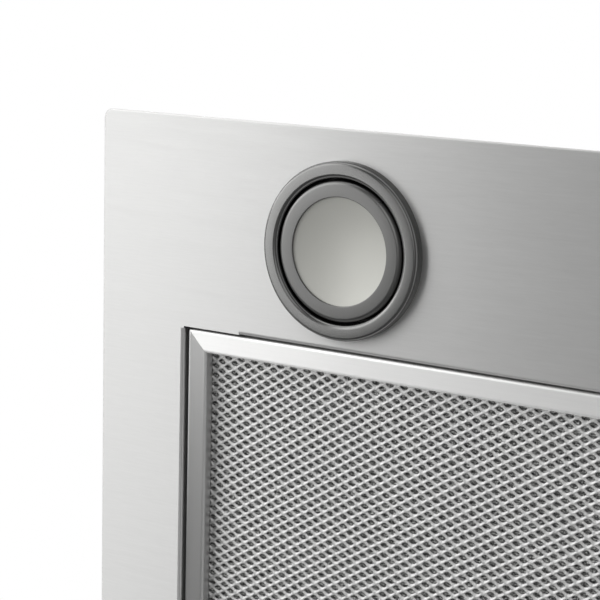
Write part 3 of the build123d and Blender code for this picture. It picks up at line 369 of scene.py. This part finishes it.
def finish_material(name, group, colour, metallic, settings, spread=None, anisotropy=0.0):
    """A Principled material whose tone, roughness and normal come from a shared group.

    spread is the direction, square to the brushing, in which highlights are drawn out."""
    material = bpy.data.materials.new(name)
    material.use_nodes = True
    tree = material.node_tree
    shader = tree.nodes["Principled BSDF"]
    pattern = node(tree, "ShaderNodeGroup", node_tree=group)
    for key, value in settings.items():
        pattern.inputs[key].default_value = value
    base = node(tree, "ShaderNodeMix", data_type="RGBA", blend_type="MULTIPLY")
    base.inputs[0].default_value = 1.0
    base.inputs[6].default_value = (*colour, 1.0)
    tree.links.new(pattern.outputs["Tone"], base.inputs[7])
    tree.links.new(base.outputs[2], shader.inputs["Base Color"])
    tree.links.new(pattern.outputs["Roughness"], shader.inputs["Roughness"])
    if "Normal" in pattern.outputs:
        tree.links.new(pattern.outputs["Normal"], shader.inputs["Normal"])
    shader.inputs["Metallic"].default_value = metallic
    if spread:
        way = {"convert_from": "OBJECT", "convert_to": "WORLD"}
        turned = node(tree, "ShaderNodeVectorTransform", {0: spread}, **way)
        tree.links.new(turned.outputs[0], shader.inputs["Tangent"])
        shader.inputs["Anisotropic"].default_value = anisotropy
    return material


def make_materials():
    """One material for each slot of the record, and some for single pieces."""
    brushed, grain, spangle = brushed_group(), grain_group(), spangle_group()
    along_y = {"Stretch": (700.0, 6.0, 700.0), "Fine Stretch": (5000.0, 30.0, 5000.0)}
    plate = {"Roughness": 0.5, "Low": 0.93, "Depth": 0.04}
    plate.update({"Stretch": (25.0, 500.0, 500.0), "Fine Stretch": (120.0, 1600.0, 1600.0)})
    bar = {"Roughness": 0.5, "Low": 0.95, "Depth": 0.03}
    side_bar = {**bar, **along_y, "Roughness": 0.45}
    crumpled = {"Roughness": 0.4, "Low": 0.2, "Depth": 1.0, "Height": 0.002}
    crumpled.update({"Cloud Scale": 1100.0, "Scale": 1600.0, "Dark": 0.44, "Light": 0.54})
    cut_sheet = {"Roughness": 0.5, "Low": 0.7, "Depth": 0.6, "Height": 0.0005}
    cut_sheet.update({"Cloud Scale": 700.0, "Scale": 1500.0})
    plain = {"Roughness": 0.7, "Low": 0.97, "Scale": 300.0, "Cloud Scale": 3.0}
    x_spread, y_spread = (1.0, 0.0, 0.0), (0.0, 1.0, 0.0)
    made = {
        "brushed_plate": (brushed, (0.66, 0.66, 0.656), 0.8, plate, y_spread, 0.92),
        "filter_frame": (brushed, (0.86, 0.86, 0.855), 1.0, bar, y_spread, 0.6),
        # The side bars are the same metal as the front bar, brushed the other way; their darker colour is
        # painted shade
        "filter_frame_side": (brushed, (0.62, 0.62, 0.617), 1.0, side_bar, x_spread, 0.75),
        "spring_steel": (brushed, (0.5, 0.5, 0.5), 1.0, {"Roughness": 0.35, "Low": 0.85}),
        "fastener_steel": (brushed, (0.6, 0.6, 0.6), 1.0, {"Roughness": 0.28, "Low": 0.85}),
        "lamp_trim": (grain, (0.165, 0.165, 0.163), 1.0, {"Roughness": 0.23, "Low": 0.95, "Depth": 0.03}),
        "lamp_trim_inner": (grain, (0.16, 0.16, 0.158), 1.0, {"Roughness": 0.3, "Low": 0.95, "Depth": 0.03}),
        "lamp_glass": (grain, (0.54, 0.54, 0.506), 0.3, {"Roughness": 0.42, "Low": 0.97, "Depth": 0.03}),
        "heat_sink": (grain, (0.03, 0.03, 0.032), 0.0, {"Roughness": 0.5, "Low": 0.8, "Depth": 0.4}),
        "circuit_board": (grain, (0.8, 0.8, 0.74), 0.0, {"Roughness": 0.4, "Low": 0.94}),
        "filter_mesh": (grain, (0.8, 0.8, 0.795), 0.72, cut_sheet),
        # The inner layers are the same aluminium as the front mesh; their brighter colour is painted light
        # that lifts the shade inside the filter, and their speckle is random tone and bumps
        "filter_mesh_deep": (grain, (1.0, 1.0, 0.99), 0.5, crumpled),
        "latch_plastic": (grain, (0.02, 0.02, 0.021), 0.0, {"Roughness": 0.45, "Low": 0.8}),
        "casing_sheet": (spangle, (0.5, 0.513, 0.522), 1.0, {"Roughness": 0.42}),
        "scroll_plastic": (grain, (0.035, 0.035, 0.037), 0.0, {"Roughness": 0.5, "Low": 0.8}),
        "motor_steel": (grain, (0.33, 0.34, 0.35), 1.0, {"Roughness": 0.4, "Low": 0.8}),
        "rubber_bush": (grain, (0.012, 0.012, 0.012), 0.0, {"Roughness": 0.75, "Low": 0.75}),
        "collar_plastic": (grain, (0.022, 0.022, 0.023), 0.0, {"Roughness": 0.48, "Low": 0.8}),
        "control_plastic": (grain, (0.025, 0.025, 0.026), 0.0, {"Roughness": 0.4, "Low": 0.85}),
        "button_plastic": (grain, (0.12, 0.12, 0.122), 0.3, {"Roughness": 0.3, "Low": 0.9}),
        "wiring_plastic": (grain, (0.075, 0.078, 0.082), 0.0, {"Roughness": 0.5, "Low": 0.82}),
        "capacitor_plastic": (grain, (0.62, 0.62, 0.6), 0.0, {"Roughness": 0.4, "Low": 0.9}),
        "floor": (grain, (0.78, 0.78, 0.775), 0.0, plain),
    }
    for name, spec in made.items():
        finish_material(FINISH + name, *spec)


def material(name):
    """The finish of that name, made with all the others on first use."""
    if FINISH + name not in bpy.data.materials:
        make_materials()
    return bpy.data.materials[FINISH + name]


# Meshes


def mesh_from(name, bm, smooth=TURNED_SMOOTH):
    """A mesh from a bmesh, with outward normals and smooth shading below an angle in degrees."""
    bmesh.ops.recalc_face_normals(bm, faces=bm.faces)
    mesh = bpy.data.meshes.new(name)
    bm.to_mesh(mesh)
    bm.free()
    mesh.shade_smooth()
    mesh.set_sharp_from_angle(angle=radians(smooth))
    return mesh


def lathe(name, points, segments, place=(0.0, 0.0, 0.0)):
    """A solid turned about Z from (radius, height) points; a point on the axis closes it."""
    bm = bmesh.new()
    turns = [2 * pi * i / segments for i in range(segments)]
    rings = []
    for radius, height in points:
        if radius < 1e-9:
            rings.append([bm.verts.new((0, 0, height))] * segments)
        else:
            rings.append([bm.verts.new((radius * cos(t), radius * sin(t), height)) for t in turns])
    for low, high in zip(rings, rings[1:]):
        for i in range(segments):
            j = (i + 1) % segments
            corners = [low[i], low[j], high[j], high[i]]
            bm.faces.new(list(dict.fromkeys(corners)))
    bmesh.ops.remove_doubles(bm, verts=bm.verts, dist=1e-7)
    bmesh.ops.translate(bm, verts=bm.verts, vec=place)
    return mesh_from(name, bm)


def rounded(middle, radius, start, end, steps=24):
    """Points of an arc about a middle, between two angles in degrees."""
    turns = [radians(start + (end - start) * i / steps) for i in range(steps + 1)]
    return [(middle[0] + radius * cos(t), middle[1] + radius * sin(t)) for t in turns]


def dome(start, radius, height):
    """Points of a head's domed top, from a radius near its middle out to its rim."""
    turns = [pi / 2 * i / DOME_STEPS for i in range(1, DOME_STEPS + 1)]
    return [(start + (radius - start) * sin(t), height * cos(t)) for t in turns]


def piece(mesh, finish, body, replaces=()):
    """A finished piece of the hood: it takes a finish, rides on a body and may stand for CAD nodes."""
    obj = bpy.data.objects.new(mesh.name, mesh)
    bpy.context.scene.collection.objects.link(obj)
    if finish:
        obj.data.materials.append(material(finish))
    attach(obj, body)
    if replaces:
        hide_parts(*replaces)
    return obj


def centre(node_name):
    """The middle of a CAD node's box."""
    low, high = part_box(node_name)
    return (Vector(low) + Vector(high)) / 2


# Geometry Nodes


def geometry_group(name, inputs):
    """A new geometry node group that takes and gives a geometry, with further named inputs."""
    tree = bpy.data.node_groups.new(name, "GeometryNodeTree")
    socket(tree, "Geometry", "NodeSocketGeometry")
    for label, kind, default in inputs:
        socket(tree, label, kind, default)
    socket(tree, "Geometry", "NodeSocketGeometry", output=True)
    return tree, tree.nodes.new("NodeGroupInput"), tree.nodes.new("NodeGroupOutput")


def finish_group(tree, given, result, instances):
    """Ends a geometry group: realizes the instances, joins their ends and sets the material."""
    real = node(tree, "GeometryNodeRealizeInstances", {0: instances})
    joined = {"Geometry": real.outputs[0], "Distance": JOIN_DISTANCE}
    joined = node(tree, "GeometryNodeMergeByDistance", joined)
    painted = {"Geometry": joined.outputs[0], "Material": given.outputs["Material"]}
    painted = node(tree, "GeometryNodeSetMaterial", painted)
    tree.links.new(painted.outputs[0], result.inputs[0])


def between(tree, value, low, high):
    """A socket that is 1 where a value lies between low and high, and 0 elsewhere."""
    above = computed(tree, "GREATER_THAN", value, low)
    below = computed(tree, "LESS_THAN", value, high)
    return computed(tree, "MULTIPLY", above, below)


def expanded_mesh_group():
    """Repeats one cell or strand wave in staggered rows inside a window, and leaves a notch free."""
    tree, given, result = geometry_group(
        "Expanded Mesh",
        [
            ("Columns", "NodeSocketInt", 10),
            ("Rows", "NodeSocketInt", 10),
            ("Pitch Along", "NodeSocketFloat", 0.0063),
            ("Pitch Across", "NodeSocketFloat", 0.002),
            ("Start", "NodeSocketVector", (0.0, 0.0, 0.0)),
            ("Window Low", "NodeSocketVector", (0.0, 0.0, 0.0)),
            ("Window High", "NodeSocketVector", (0.0, 0.0, 0.0)),
            ("Notch Low", "NodeSocketVector", (0.0, 0.0, 0.0)),
            ("Notch High", "NodeSocketVector", (0.0, 0.0, 0.0)),
            ("Material", "NodeSocketMaterial", None),
        ],
    )
    out = given.outputs
    spots = node(tree, "GeometryNodeMeshGrid", {0: 0.0, 1: 0.0, 2: out["Columns"], 3: out["Rows"]})
    index = node(tree, "GeometryNodeInputIndex").outputs[0]
    column = computed(tree, "FLOOR", computed(tree, "DIVIDE", index, out["Rows"]))
    row = computed(tree, "MODULO", index, out["Rows"])
    stagger = computed(tree, "MODULO", row, 2.0)
    column = computed(tree, "MULTIPLY_ADD", stagger, 0.5, column)
    x = computed(tree, "MULTIPLY", column, out["Pitch Along"])
    y = computed(tree, "MULTIPLY", row, out["Pitch Across"])
    offset = node(tree, "ShaderNodeCombineXYZ", {0: x, 1: y})
    target = {0: offset.outputs[0], 1: out["Start"]}
    target = node(tree, "ShaderNodeVectorMath", target, operation="ADD").outputs[0]
    placed = node(tree, "GeometryNodeSetPosition", {"Geometry": spots.outputs[0], "Position": target})
    where = node(tree, "ShaderNodeSeparateXYZ", {0: node(tree, "GeometryNodeInputPosition").outputs[0]})
    limits = {}
    for name in ("Window Low", "Window High", "Notch Low", "Notch High"):
        limits[name] = node(tree, "ShaderNodeSeparateXYZ", {0: out[name]})
    inside = [
        between(tree, where.outputs[i], limits["Window Low"].outputs[i], limits["Window High"].outputs[i])
        for i in (0, 1)
    ]
    notched = [
        between(tree, where.outputs[i], limits["Notch Low"].outputs[i], limits["Notch High"].outputs[i])
        for i in (0, 1)
    ]
    window = computed(tree, "MULTIPLY", *inside)
    notch = computed(tree, "MULTIPLY", *notched)
    kept = computed(tree, "GREATER_THAN", window, notch)
    copies = node(
        tree,
        "GeometryNodeInstanceOnPoints",
        {"Points": placed.outputs[0], "Instance": out["Geometry"], "Selection": kept},
    )
    finish_group(tree, given, result, copies.outputs[0])
    return tree


def heads_group():
    """Repeats a fastener head on a grid of points that can be turned and moved as a whole."""
    tree, given, result = geometry_group(
        "Fastener Heads",
        [
            ("Count X", "NodeSocketInt", 2),
            ("Count Y", "NodeSocketInt", 2),
            ("Size X", "NodeSocketFloat", 0.1),
            ("Size Y", "NodeSocketFloat", 0.1),
            ("Place", "NodeSocketVector", (0.0, 0.0, 0.0)),
            ("Turn", "NodeSocketVector", (0.0, 0.0, 0.0)),
            ("Material", "NodeSocketMaterial", None),
        ],
    )
    out = given.outputs
    grid = {0: out["Size X"], 1: out["Size Y"], 2: out["Count X"], 3: out["Count Y"]}
    spots = node(tree, "GeometryNodeMeshGrid", grid)
    copies = {"Points": spots.outputs[0], "Instance": out["Geometry"]}
    copies = node(tree, "GeometryNodeInstanceOnPoints", copies)
    turn = node(tree, "FunctionNodeEulerToRotation", {0: out["Turn"]})
    moved = node(
        tree,
        "GeometryNodeTransform",
        {"Geometry": copies.outputs[0], "Translation": out["Place"], "Rotation": turn.outputs[0]},
    )
    finish_group(tree, given, result, moved.outputs[0])
    return tree


def repeated(name, seed_mesh, tree, values):
    """A plain mesh made by running a geometry node group on a seed mesh."""
    obj = bpy.data.objects.new(name, seed_mesh)
    bpy.context.scene.collection.objects.link(obj)
    modifier = obj.modifiers.new("Repeat", "NODES")
    modifier.node_group = tree
    for item in tree.interface.items_tree:
        if item.in_out == "INPUT" and item.name in values:
            modifier[item.identifier] = values[item.name]
    obj.update_tag()
    shape = obj.evaluated_get(bpy.context.evaluated_depsgraph_get())
    mesh = bpy.data.meshes.new_from_object(shape)
    mesh.name = name
    obj.modifiers.remove(modifier)
    bpy.data.objects.remove(obj)
    mesh.shade_smooth()
    mesh.set_sharp_from_angle(angle=radians(REPEATED_SMOOTH))
    return mesh


def strand_wave(settings, scale, steps):
    """One wave of a tilted strand about its middle, from bond to bond."""
    wide = Vector((cos(settings.tilt), sin(settings.tilt))) * settings.strand_width * scale / 2
    thick = Vector((-sin(settings.tilt), cos(settings.tilt))) * settings.strand_sheet * scale / 2
    swing = (settings.pitch_across - settings.strand_width * cos(settings.tilt)) * scale
    bm = bmesh.new()
    rings = []
    for i in range(steps + 1):
        share = i / steps
        rise = 0.25 - 0.25 * cos(2 * pi * share) + 0.5 * (1 - abs(2 * share - 1))
        middle = Vector((swing * (rise - 0.5), 0))
        section = [middle - wide - thick, middle + wide - thick, middle + wide + thick, middle - wide + thick]
        x = (share - 0.5) * settings.pitch_along * scale
        rings.append([bm.verts.new((x, y, z)) for y, z in section])
    for near, far in zip(rings, rings[1:]):
        for i in range(4):
            j = (i + 1) % 4
            bm.faces.new([near[i], near[j], far[j], far[i]])
    return mesh_from("strand_wave", bm, REPEATED_SMOOTH)


def mesh_cell(settings):
    """One diamond cell of the front mesh: flat strands round a gap, with a hollow at its rear side."""
    reach_x, reach_y = settings.pitch_along / 2, settings.pitch_across
    count = 4 * settings.steps

    def border(x):
        straight = 1 - abs(x) / reach_x
        return reach_y * (0.5 * straight + 0.25 + 0.25 * cos(pi * x / reach_x))

    def bowed(value):
        return abs(value) ** GAP_BOW * (1 if value > 0 else -1)

    bm = bmesh.new()
    outer, crest, rim, wall = [], [], [], []
    for i in range(count):
        turn = 2 * pi * i / count
        x = reach_x * (abs(2 * i / count - 1) * 2 - 1)
        edge = Vector((x, border(x) if i < count / 2 else -border(x)))
        gap_x = settings.gap_along / 2 * bowed(cos(turn))
        gap_y = settings.gap_across / 2 * bowed(sin(turn))
        gap = Vector((gap_x, gap_y))
        gap.y -= settings.gap_shift
        flat = edge.lerp(gap, settings.crest)
        sink = settings.hollow * max(0.0, sin(turn)) ** HOLLOW_BOW
        outer.append(bm.verts.new((edge.x, edge.y, -settings.crown)))
        crest.append(bm.verts.new((flat.x, flat.y, -SHOULDER * settings.crown)))
        rim.append(bm.verts.new((gap.x, gap.y, sink)))
        wall.append(bm.verts.new((gap.x, gap.y, sink + settings.strand_sheet)))
    for near, far in ((outer, crest), (crest, rim), (rim, wall)):
        for i in range(count):
            j = (i + 1) % count
            bm.faces.new([near[j], near[i], far[i], far[j]])
    mesh = bpy.data.meshes.new("mesh_cell")
    bm.to_mesh(mesh)
    bm.free()
    return mesh


# Operators


class HOOD_OT_finishes(bpy.types.Operator):
    """Gives every CAD node its finish and softens its cut and moulded edges"""

    bl_idname = "hood.finishes"
    bl_label = "Finishes"

    def execute(self, context):
        edges = context.scene.range_hood.edges
        slots = {entry["node"]: entry["material_slot"] for entry in frame["record"]["subparts"]}
        for name, obj in frame["nodes"].items():
            # The side bars get the darker copy of the frame's finish, painted shade
            finish = "filter_frame_side" if name in PAINTED_SHADE_BARS else slots[name]
            obj.data.materials.clear()
            obj.data.materials.append(material(finish))
            weld = obj.modifiers.new("Weld", "WELD")
            weld.merge_threshold = WELD_DISTANCE
            bevel = obj.modifiers.new("Soft edges", "BEVEL")
            bevel.width = edges.sheet if slots[name] in SHEET_SLOTS else edges.moulded
            bevel.segments = BEVEL_SEGMENTS
            bevel.limit_method = "ANGLE"
            bevel.angle_limit = BEVEL_ANGLE
            bevel.use_clamp_overlap = True
            bevel.harden_normals = False
        return {"FINISHED"}


class HOOD_OT_lamps(bpy.types.Operator):
    """Makes each lamp's rounded bezel and ring and its frosted, hollowed lens"""

    bl_idname = "hood.lamps"
    bl_label = "Lamps"

    def execute(self, context):
        settings = context.scene.range_hood.lamp
        for side in ("left", "right"):
            self.bezel(settings, side)
            self.ring(settings, side)
            self.lens(settings, side)
        return {"FINISHED"}

    def bezel(self, settings, side):
        """The outer ring, with both edges of its face rounded and a neck through the plate."""
        node_name = f"lamp_bezel_{side}"
        low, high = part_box(node_name)
        middle = centre(node_name)
        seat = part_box("base_plate")[0][2]
        radius = (high[0] - low[0]) / 2
        body_low, body_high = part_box(f"lamp_body_{side}")
        inner = (body_high[0] - body_low[0]) / 2 + settings.lens_room
        neck = inner + settings.bezel_wall
        bend, roll, face = settings.bezel_round, settings.bezel_roll, low[2]
        profile = [(inner, high[2])]
        profile += rounded((inner + roll, face + roll), roll, 180, 270)
        profile += rounded((radius - bend, face + bend), bend, 270, 360)
        profile += [(radius, seat), (neck, seat), (neck, high[2]), (inner, high[2])]
        mesh = lathe(f"bezel_{side}", profile, settings.segments, (middle.x, middle.y, 0.0))
        piece(mesh, "lamp_trim", "hood", replaces=[node_name])

    def ring(self, settings, side):
        """The inner ring, with a rounded outer edge and a rabbet for the lens."""
        node_name = f"lamp_ring_{side}"
        low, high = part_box(node_name)
        lens_low, lens_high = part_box(f"lamp_lens_{side}")
        middle = centre(node_name)
        radius = (high[0] - low[0]) / 2 + settings.ring_reach
        lens = (lens_high[0] - lens_low[0]) / 2
        window = lens - settings.lens_lip
        bend, edge, face = settings.ring_round, settings.window_round, low[2]
        profile = rounded((window + edge, face + edge), edge, 180, 270)
        profile += rounded((radius - bend, face + bend), bend, 270, 360)
        profile += [(radius, high[2]), (lens + settings.lens_room, high[2])]
        profile += [(lens + settings.lens_room, lens_low[2]), (window, lens_low[2]), profile[0]]
        mesh = lathe(f"ring_{side}", profile, settings.segments, (middle.x, middle.y, 0.0))
        piece(mesh, "lamp_trim_inner", "hood", [node_name])

    def lens(self, settings, side):
        """The frosted disc behind the ring's lip, hollowed on its face."""
        node_name = f"lamp_lens_{side}"
        low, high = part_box(node_name)
        middle = centre(node_name)
        radius = (high[0] - low[0]) / 2
        profile = []
        for i in range(settings.rings + 1):
            share = i / settings.rings
            profile.append((share * radius, settings.dish * (1 - share * share)))
        profile += [(radius, settings.thickness), (0.0, settings.thickness)]
        mesh = lathe(f"frosted_lens_{side}", profile, settings.segments, (middle.x, middle.y, low[2]))
        piece(mesh, "lamp_glass", "hood", replaces=[node_name])


class HOOD_OT_filter_mesh(bpy.types.Operator):
    """Makes the layers of expanded aluminium mesh in the grease filter"""

    bl_idname = "hood.filter_mesh"
    bl_label = "Filter mesh"

    def execute(self, context):
        settings = context.scene.range_hood.mesh
        tree = expanded_mesh_group()
        low = Vector(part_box("filter_bar_left")[0])
        high = Vector(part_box("filter_bar_right")[1])
        front_z = (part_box("filter_mesh_front")[0][2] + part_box("filter_core")[0][2]) / 2
        inner_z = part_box("filter_core")[0][2] + settings.inner_depth
        back_z = (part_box("filter_mesh_back")[0][2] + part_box("filter_mesh_back")[1][2]) / 2
        inset = Vector((settings.edge_inset, settings.edge_inset, 0))
        low, high = low + inset, high - inset
        wide = (high.x - low.x) / settings.strips
        for i in range(settings.strips):
            room = (low.x + i * wide, low.x + (i + 1) * wide)
            stands_for = ["filter_mesh_front"] if i == 0 else []
            seed, name = mesh_cell(settings), f"mesh_front_{i + 1}"
            self.layer(settings, tree, name, seed, (low, high), room, front_z, 1.0, stands_for)
        wide = (high.x - low.x) / settings.inner_strips
        shift = Vector(INNER_SHIFT) * settings.pitch_across
        for i in range(settings.inner_strips * settings.inner_layers):
            strip, depth = i % settings.inner_strips, i // settings.inner_strips
            room = (low.x + strip * wide, low.x + (strip + 1) * wide)
            stands_for = ["filter_core"] if i == 0 else []
            seed, name = strand_wave(settings, settings.fine, INNER_STEPS), f"mesh_inner_{i + 1}"
            z = inner_z + depth * settings.inner_step
            span = (low + shift * depth, high)
            self.layer(settings, tree, name, seed, span, room, z, settings.fine, stands_for)
        seed, room = strand_wave(settings, 1.0, settings.steps), (low.x, high.x)
        stands_for = ["filter_mesh_back"]
        self.layer(settings, tree, "mesh_back", seed, (low, high), room, back_z, 1.0, stands_for)
        return {"FINISHED"}

    def layer(self, settings, tree, name, seed, span, room, z, scale, stands_for):
        """One layer of mesh, or the strip of it whose cells' middles lie in a range of x."""
        low, high = span
        half = Vector((settings.pitch_along / 2, settings.pitch_across, 0)) * scale
        start = low + half
        latch = [Vector(corner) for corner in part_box("latch_housing")]
        cover = Vector((settings.latch_cover, settings.latch_cover, 0))
        notch = (latch[0] + cover - half, latch[1] - cover + half)
        # Inner and back layers take the brighter copy of the mesh finish, painted light
        finish = material("filter_mesh" if name.startswith("mesh_front") else "filter_mesh_deep")
        values = {
            "Columns": int((high.x - low.x) / half.x / 2) + 1,
            "Rows": int((high.y - low.y) / half.y) + 1,
            "Pitch Along": 2 * half.x,
            "Pitch Across": half.y,
            "Start": (start.x, start.y, z),
            "Window Low": (max(room[0], start.x) - WINDOW_ROOM, start.y - WINDOW_ROOM, 0.0),
            "Window High": (min(room[1], high.x - half.x) - WINDOW_ROOM, high.y - half.y, 0.0),
            "Notch Low": (notch[0].x, low.y, 0.0),
            "Notch High": (notch[1].x, notch[1].y, 0.0),
            "Material": finish,
        }
        piece(repeated(name, seed, tree, values), None, "filter", stands_for)


class HOOD_OT_fasteners(bpy.types.Operator):
    """Makes the rivet heads on the casing's seams and the collar's screw heads"""

    bl_idname = "hood.fasteners"
    bl_label = "Fasteners"

    def execute(self, context):
        settings = context.scene.range_hood.fasteners
        tree = heads_group()
        radius, height, hole = settings.rivet_radius, settings.rivet_height, settings.rivet_hole
        cup, mouth = height * RIVET_FLOOR, hole * RIVET_MOUTH
        profile = [(0.0, cup), (hole, cup), (hole, height * RIVET_LIP), (mouth, height)]
        profile += [*dome(mouth, radius, height), (0.0, 0.0)]
        rivet = lathe("rivet_head", profile, settings.segments)
        for group in ("casing", "blower_box"):
            low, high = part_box(f"{group}_right")
            front_low, front_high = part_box(f"{group}_front")
            rim = front_high[1] - front_low[1]
            depth = high[1] - low[1] - rim
            tall = high[2] - low[2] - RIVET_END_ROOM
            for label, sign in (("left", -1), ("right", 1)):
                values = {
                    "Count X": 2,
                    "Count Y": 2,
                    "Size X": tall,
                    "Size Y": depth,
                    "Place": (sign * high[0], (low[1] + high[1]) / 2, (low[2] + high[2]) / 2),
                    "Turn": (0.0, sign * pi / 2, 0.0),
                    "Material": material("fastener_steel"),
                }
                mesh = repeated(f"rivets_{group}_{label}", rivet, tree, values)
                first = group == "casing" and sign < 0
                piece(mesh, None, "hood", ["panel_rivets"] if first else [])
        self.collar_screws(settings, tree)
        return {"FINISHED"}

    def collar_screws(self, settings, tree):
        """The four domed heads on the duct collar's flange."""
        radius, height = settings.screw_radius, settings.screw_height
        hollow = radius * SOCKET_RADIUS
        profile = [(0.0, height * SOCKET_FLOOR), (hollow, height * SOCKET_CORNER)]
        profile += [(hollow * SOCKET_MOUTH, height), *dome(hollow, radius, height), (0.0, 0.0)]
        low, high = [Vector(corner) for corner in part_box("collar_screws")]
        seat = high.z - height
        values = {
            "Count X": 2,
            "Count Y": 2,
            "Size X": high.x - low.x - 2 * radius,
            "Size Y": high.y - low.y - 2 * radius,
            "Place": ((low.x + high.x) / 2, (low.y + high.y) / 2, seat),
            "Turn": (0.0, 0.0, 0.0),
            "Material": material("fastener_steel"),
        }
        head = lathe("screw_head", profile, settings.segments)
        mesh = repeated("collar_screw_heads", head, tree, values)
        piece(mesh, None, "hood", ["collar_screws"])


class HOOD_OT_stage(bpy.types.Operator):
    """Sets the camera at the photo's angle, a pale floor, soft lights and a white background"""

    bl_idname = "hood.stage"
    bl_label = "Stage"

    def execute(self, context):
        settings = context.scene.range_hood.stage
        scene = context.scene
        scene.view_settings.view_transform = "Standard"
        self.camera(scene, settings)
        self.floor(scene, settings)
        self.world(scene, settings)
        low, high = [Vector(corner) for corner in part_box("base_plate")]
        tint = settings.tint
        for label, place, target, size in LIGHTS:
            ends = (low + Vector(place), low + Vector(target))
            self.area(scene, f"{label}_light", *ends, size, getattr(settings, label), tint)
        ends = (Vector(TOP_LIGHT_PLACE), (low + high) / 2)
        top = self.area(scene, "top_light", *ends, TOP_LIGHT_SIZE, settings.top, tint)
        top.spread = settings.top_spread
        return {"FINISHED"}

    def camera(self, scene, settings):
        """The camera that matches the photo: under the plate's front left corner, looking up."""
        data = bpy.data.cameras.new("camera")
        data.lens = settings.lens
        data.sensor_width = SENSOR_WIDTH
        data.clip_end = CLIP_END
        obj = bpy.data.objects.new("camera", data)
        scene.collection.objects.link(obj)
        scene.camera = obj
        place = Vector(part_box("base_plate")[0]) + Vector(CAMERA_PLACE)
        turn = Matrix((CAMERA_RIGHT, -CAMERA_DOWN, -CAMERA_AHEAD)).transposed()
        obj.matrix_world = Matrix.Translation(place) @ turn.to_4x4()

    def floor(self, scene, settings):
        """A plain pale floor under the hood."""
        half = settings.floor_size / 2
        bm = bmesh.new()
        corners = [(-half, -half), (half, -half), (half, half), (-half, half)]
        bm.faces.new([bm.verts.new((x, y, -settings.floor_drop)) for x, y in corners])
        mesh = mesh_from("floor", bm)
        mesh.materials.append(material("floor"))
        obj = bpy.data.objects.new("floor", mesh)
        scene.collection.objects.link(obj)

    def world(self, scene, settings):
        """White for the camera and in reflections, and an even grey light for the rest."""
        world = bpy.data.worlds.new("studio")
        world.use_nodes = True
        scene.world = world
        tree = world.node_tree
        tree.nodes.clear()
        ambient = node(tree, "ShaderNodeBackground", {"Color": WHITE, "Strength": settings.ambient})
        white = node(tree, "ShaderNodeBackground", {"Color": WHITE, "Strength": 1.0})
        path = node(tree, "ShaderNodeLightPath").outputs
        seen = path["Is Camera Ray"]
        for ray in ("Is Glossy Ray", "Is Transmission Ray"):
            seen = computed(tree, "MAXIMUM", seen, path[ray])
        mixed = node(tree, "ShaderNodeMixShader", {0: seen, 1: ambient.outputs[0], 2: white.outputs[0]})
        node(tree, "ShaderNodeOutputWorld", {"Surface": mixed.outputs[0]})

    def area(self, scene, name, place, target, size, power, tint):
        """A soft rectangular light aimed at a point. Gives back its light data."""
        data = bpy.data.lights.new(name, "AREA")
        data.shape = "RECTANGLE"
        data.size, data.size_y = size
        data.energy = power
        data.color = tint
        obj = bpy.data.objects.new(name, data)
        scene.collection.objects.link(obj)
        aim = (target - place).to_track_quat("-Z", "Y")
        obj.matrix_world = Matrix.Translation(place) @ aim.to_matrix().to_4x4()
        return data


class HOOD_PT_panel(bpy.types.Panel):
    """Sidebar panel with the hood's settings and steps"""

    bl_idname = "HOOD_PT_panel"
    bl_label = "Range Hood"
    bl_space_type = "VIEW_3D"
    bl_region_type = "UI"
    bl_category = "Range Hood"

    def draw(self, context):
        hood = context.scene.range_hood
        for label in ("lamp", "mesh", "fasteners", "edges", "stage"):
            box = self.layout.box()
            group = getattr(hood, label)
            box.label(text=label.capitalize())
            for name in group.__annotations__:
                box.prop(group, name)
        for step in STEPS:
            self.layout.operator(step.bl_idname)


GROUPS = (LampSettings, MeshSettings, FastenerSettings, EdgeSettings, StageSettings, HoodSettings)
STEPS = (HOOD_OT_finishes, HOOD_OT_lamps, HOOD_OT_filter_mesh, HOOD_OT_fasteners, HOOD_OT_stage)
CLASSES = (*GROUPS, *STEPS, HOOD_PT_panel)


def register():
    for cls in CLASSES:
        bpy.utils.register_class(cls)
    bpy.types.Scene.range_hood = PointerProperty(
        type=HoodSettings, name="Range hood", description="Looks of the hood"
    )


def unregister():
    del bpy.types.Scene.range_hood
    for cls in reversed(CLASSES):
        bpy.utils.unregister_class(cls)


def main():
    """Dresses the frame step by step."""
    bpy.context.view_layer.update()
    register()
    bpy.ops.hood.finishes()
    bpy.ops.hood.lamps()
    bpy.ops.hood.filter_mesh()
    bpy.ops.hood.fasteners()
    bpy.ops.hood.stage()


if __name__ == "__main__":
    main()
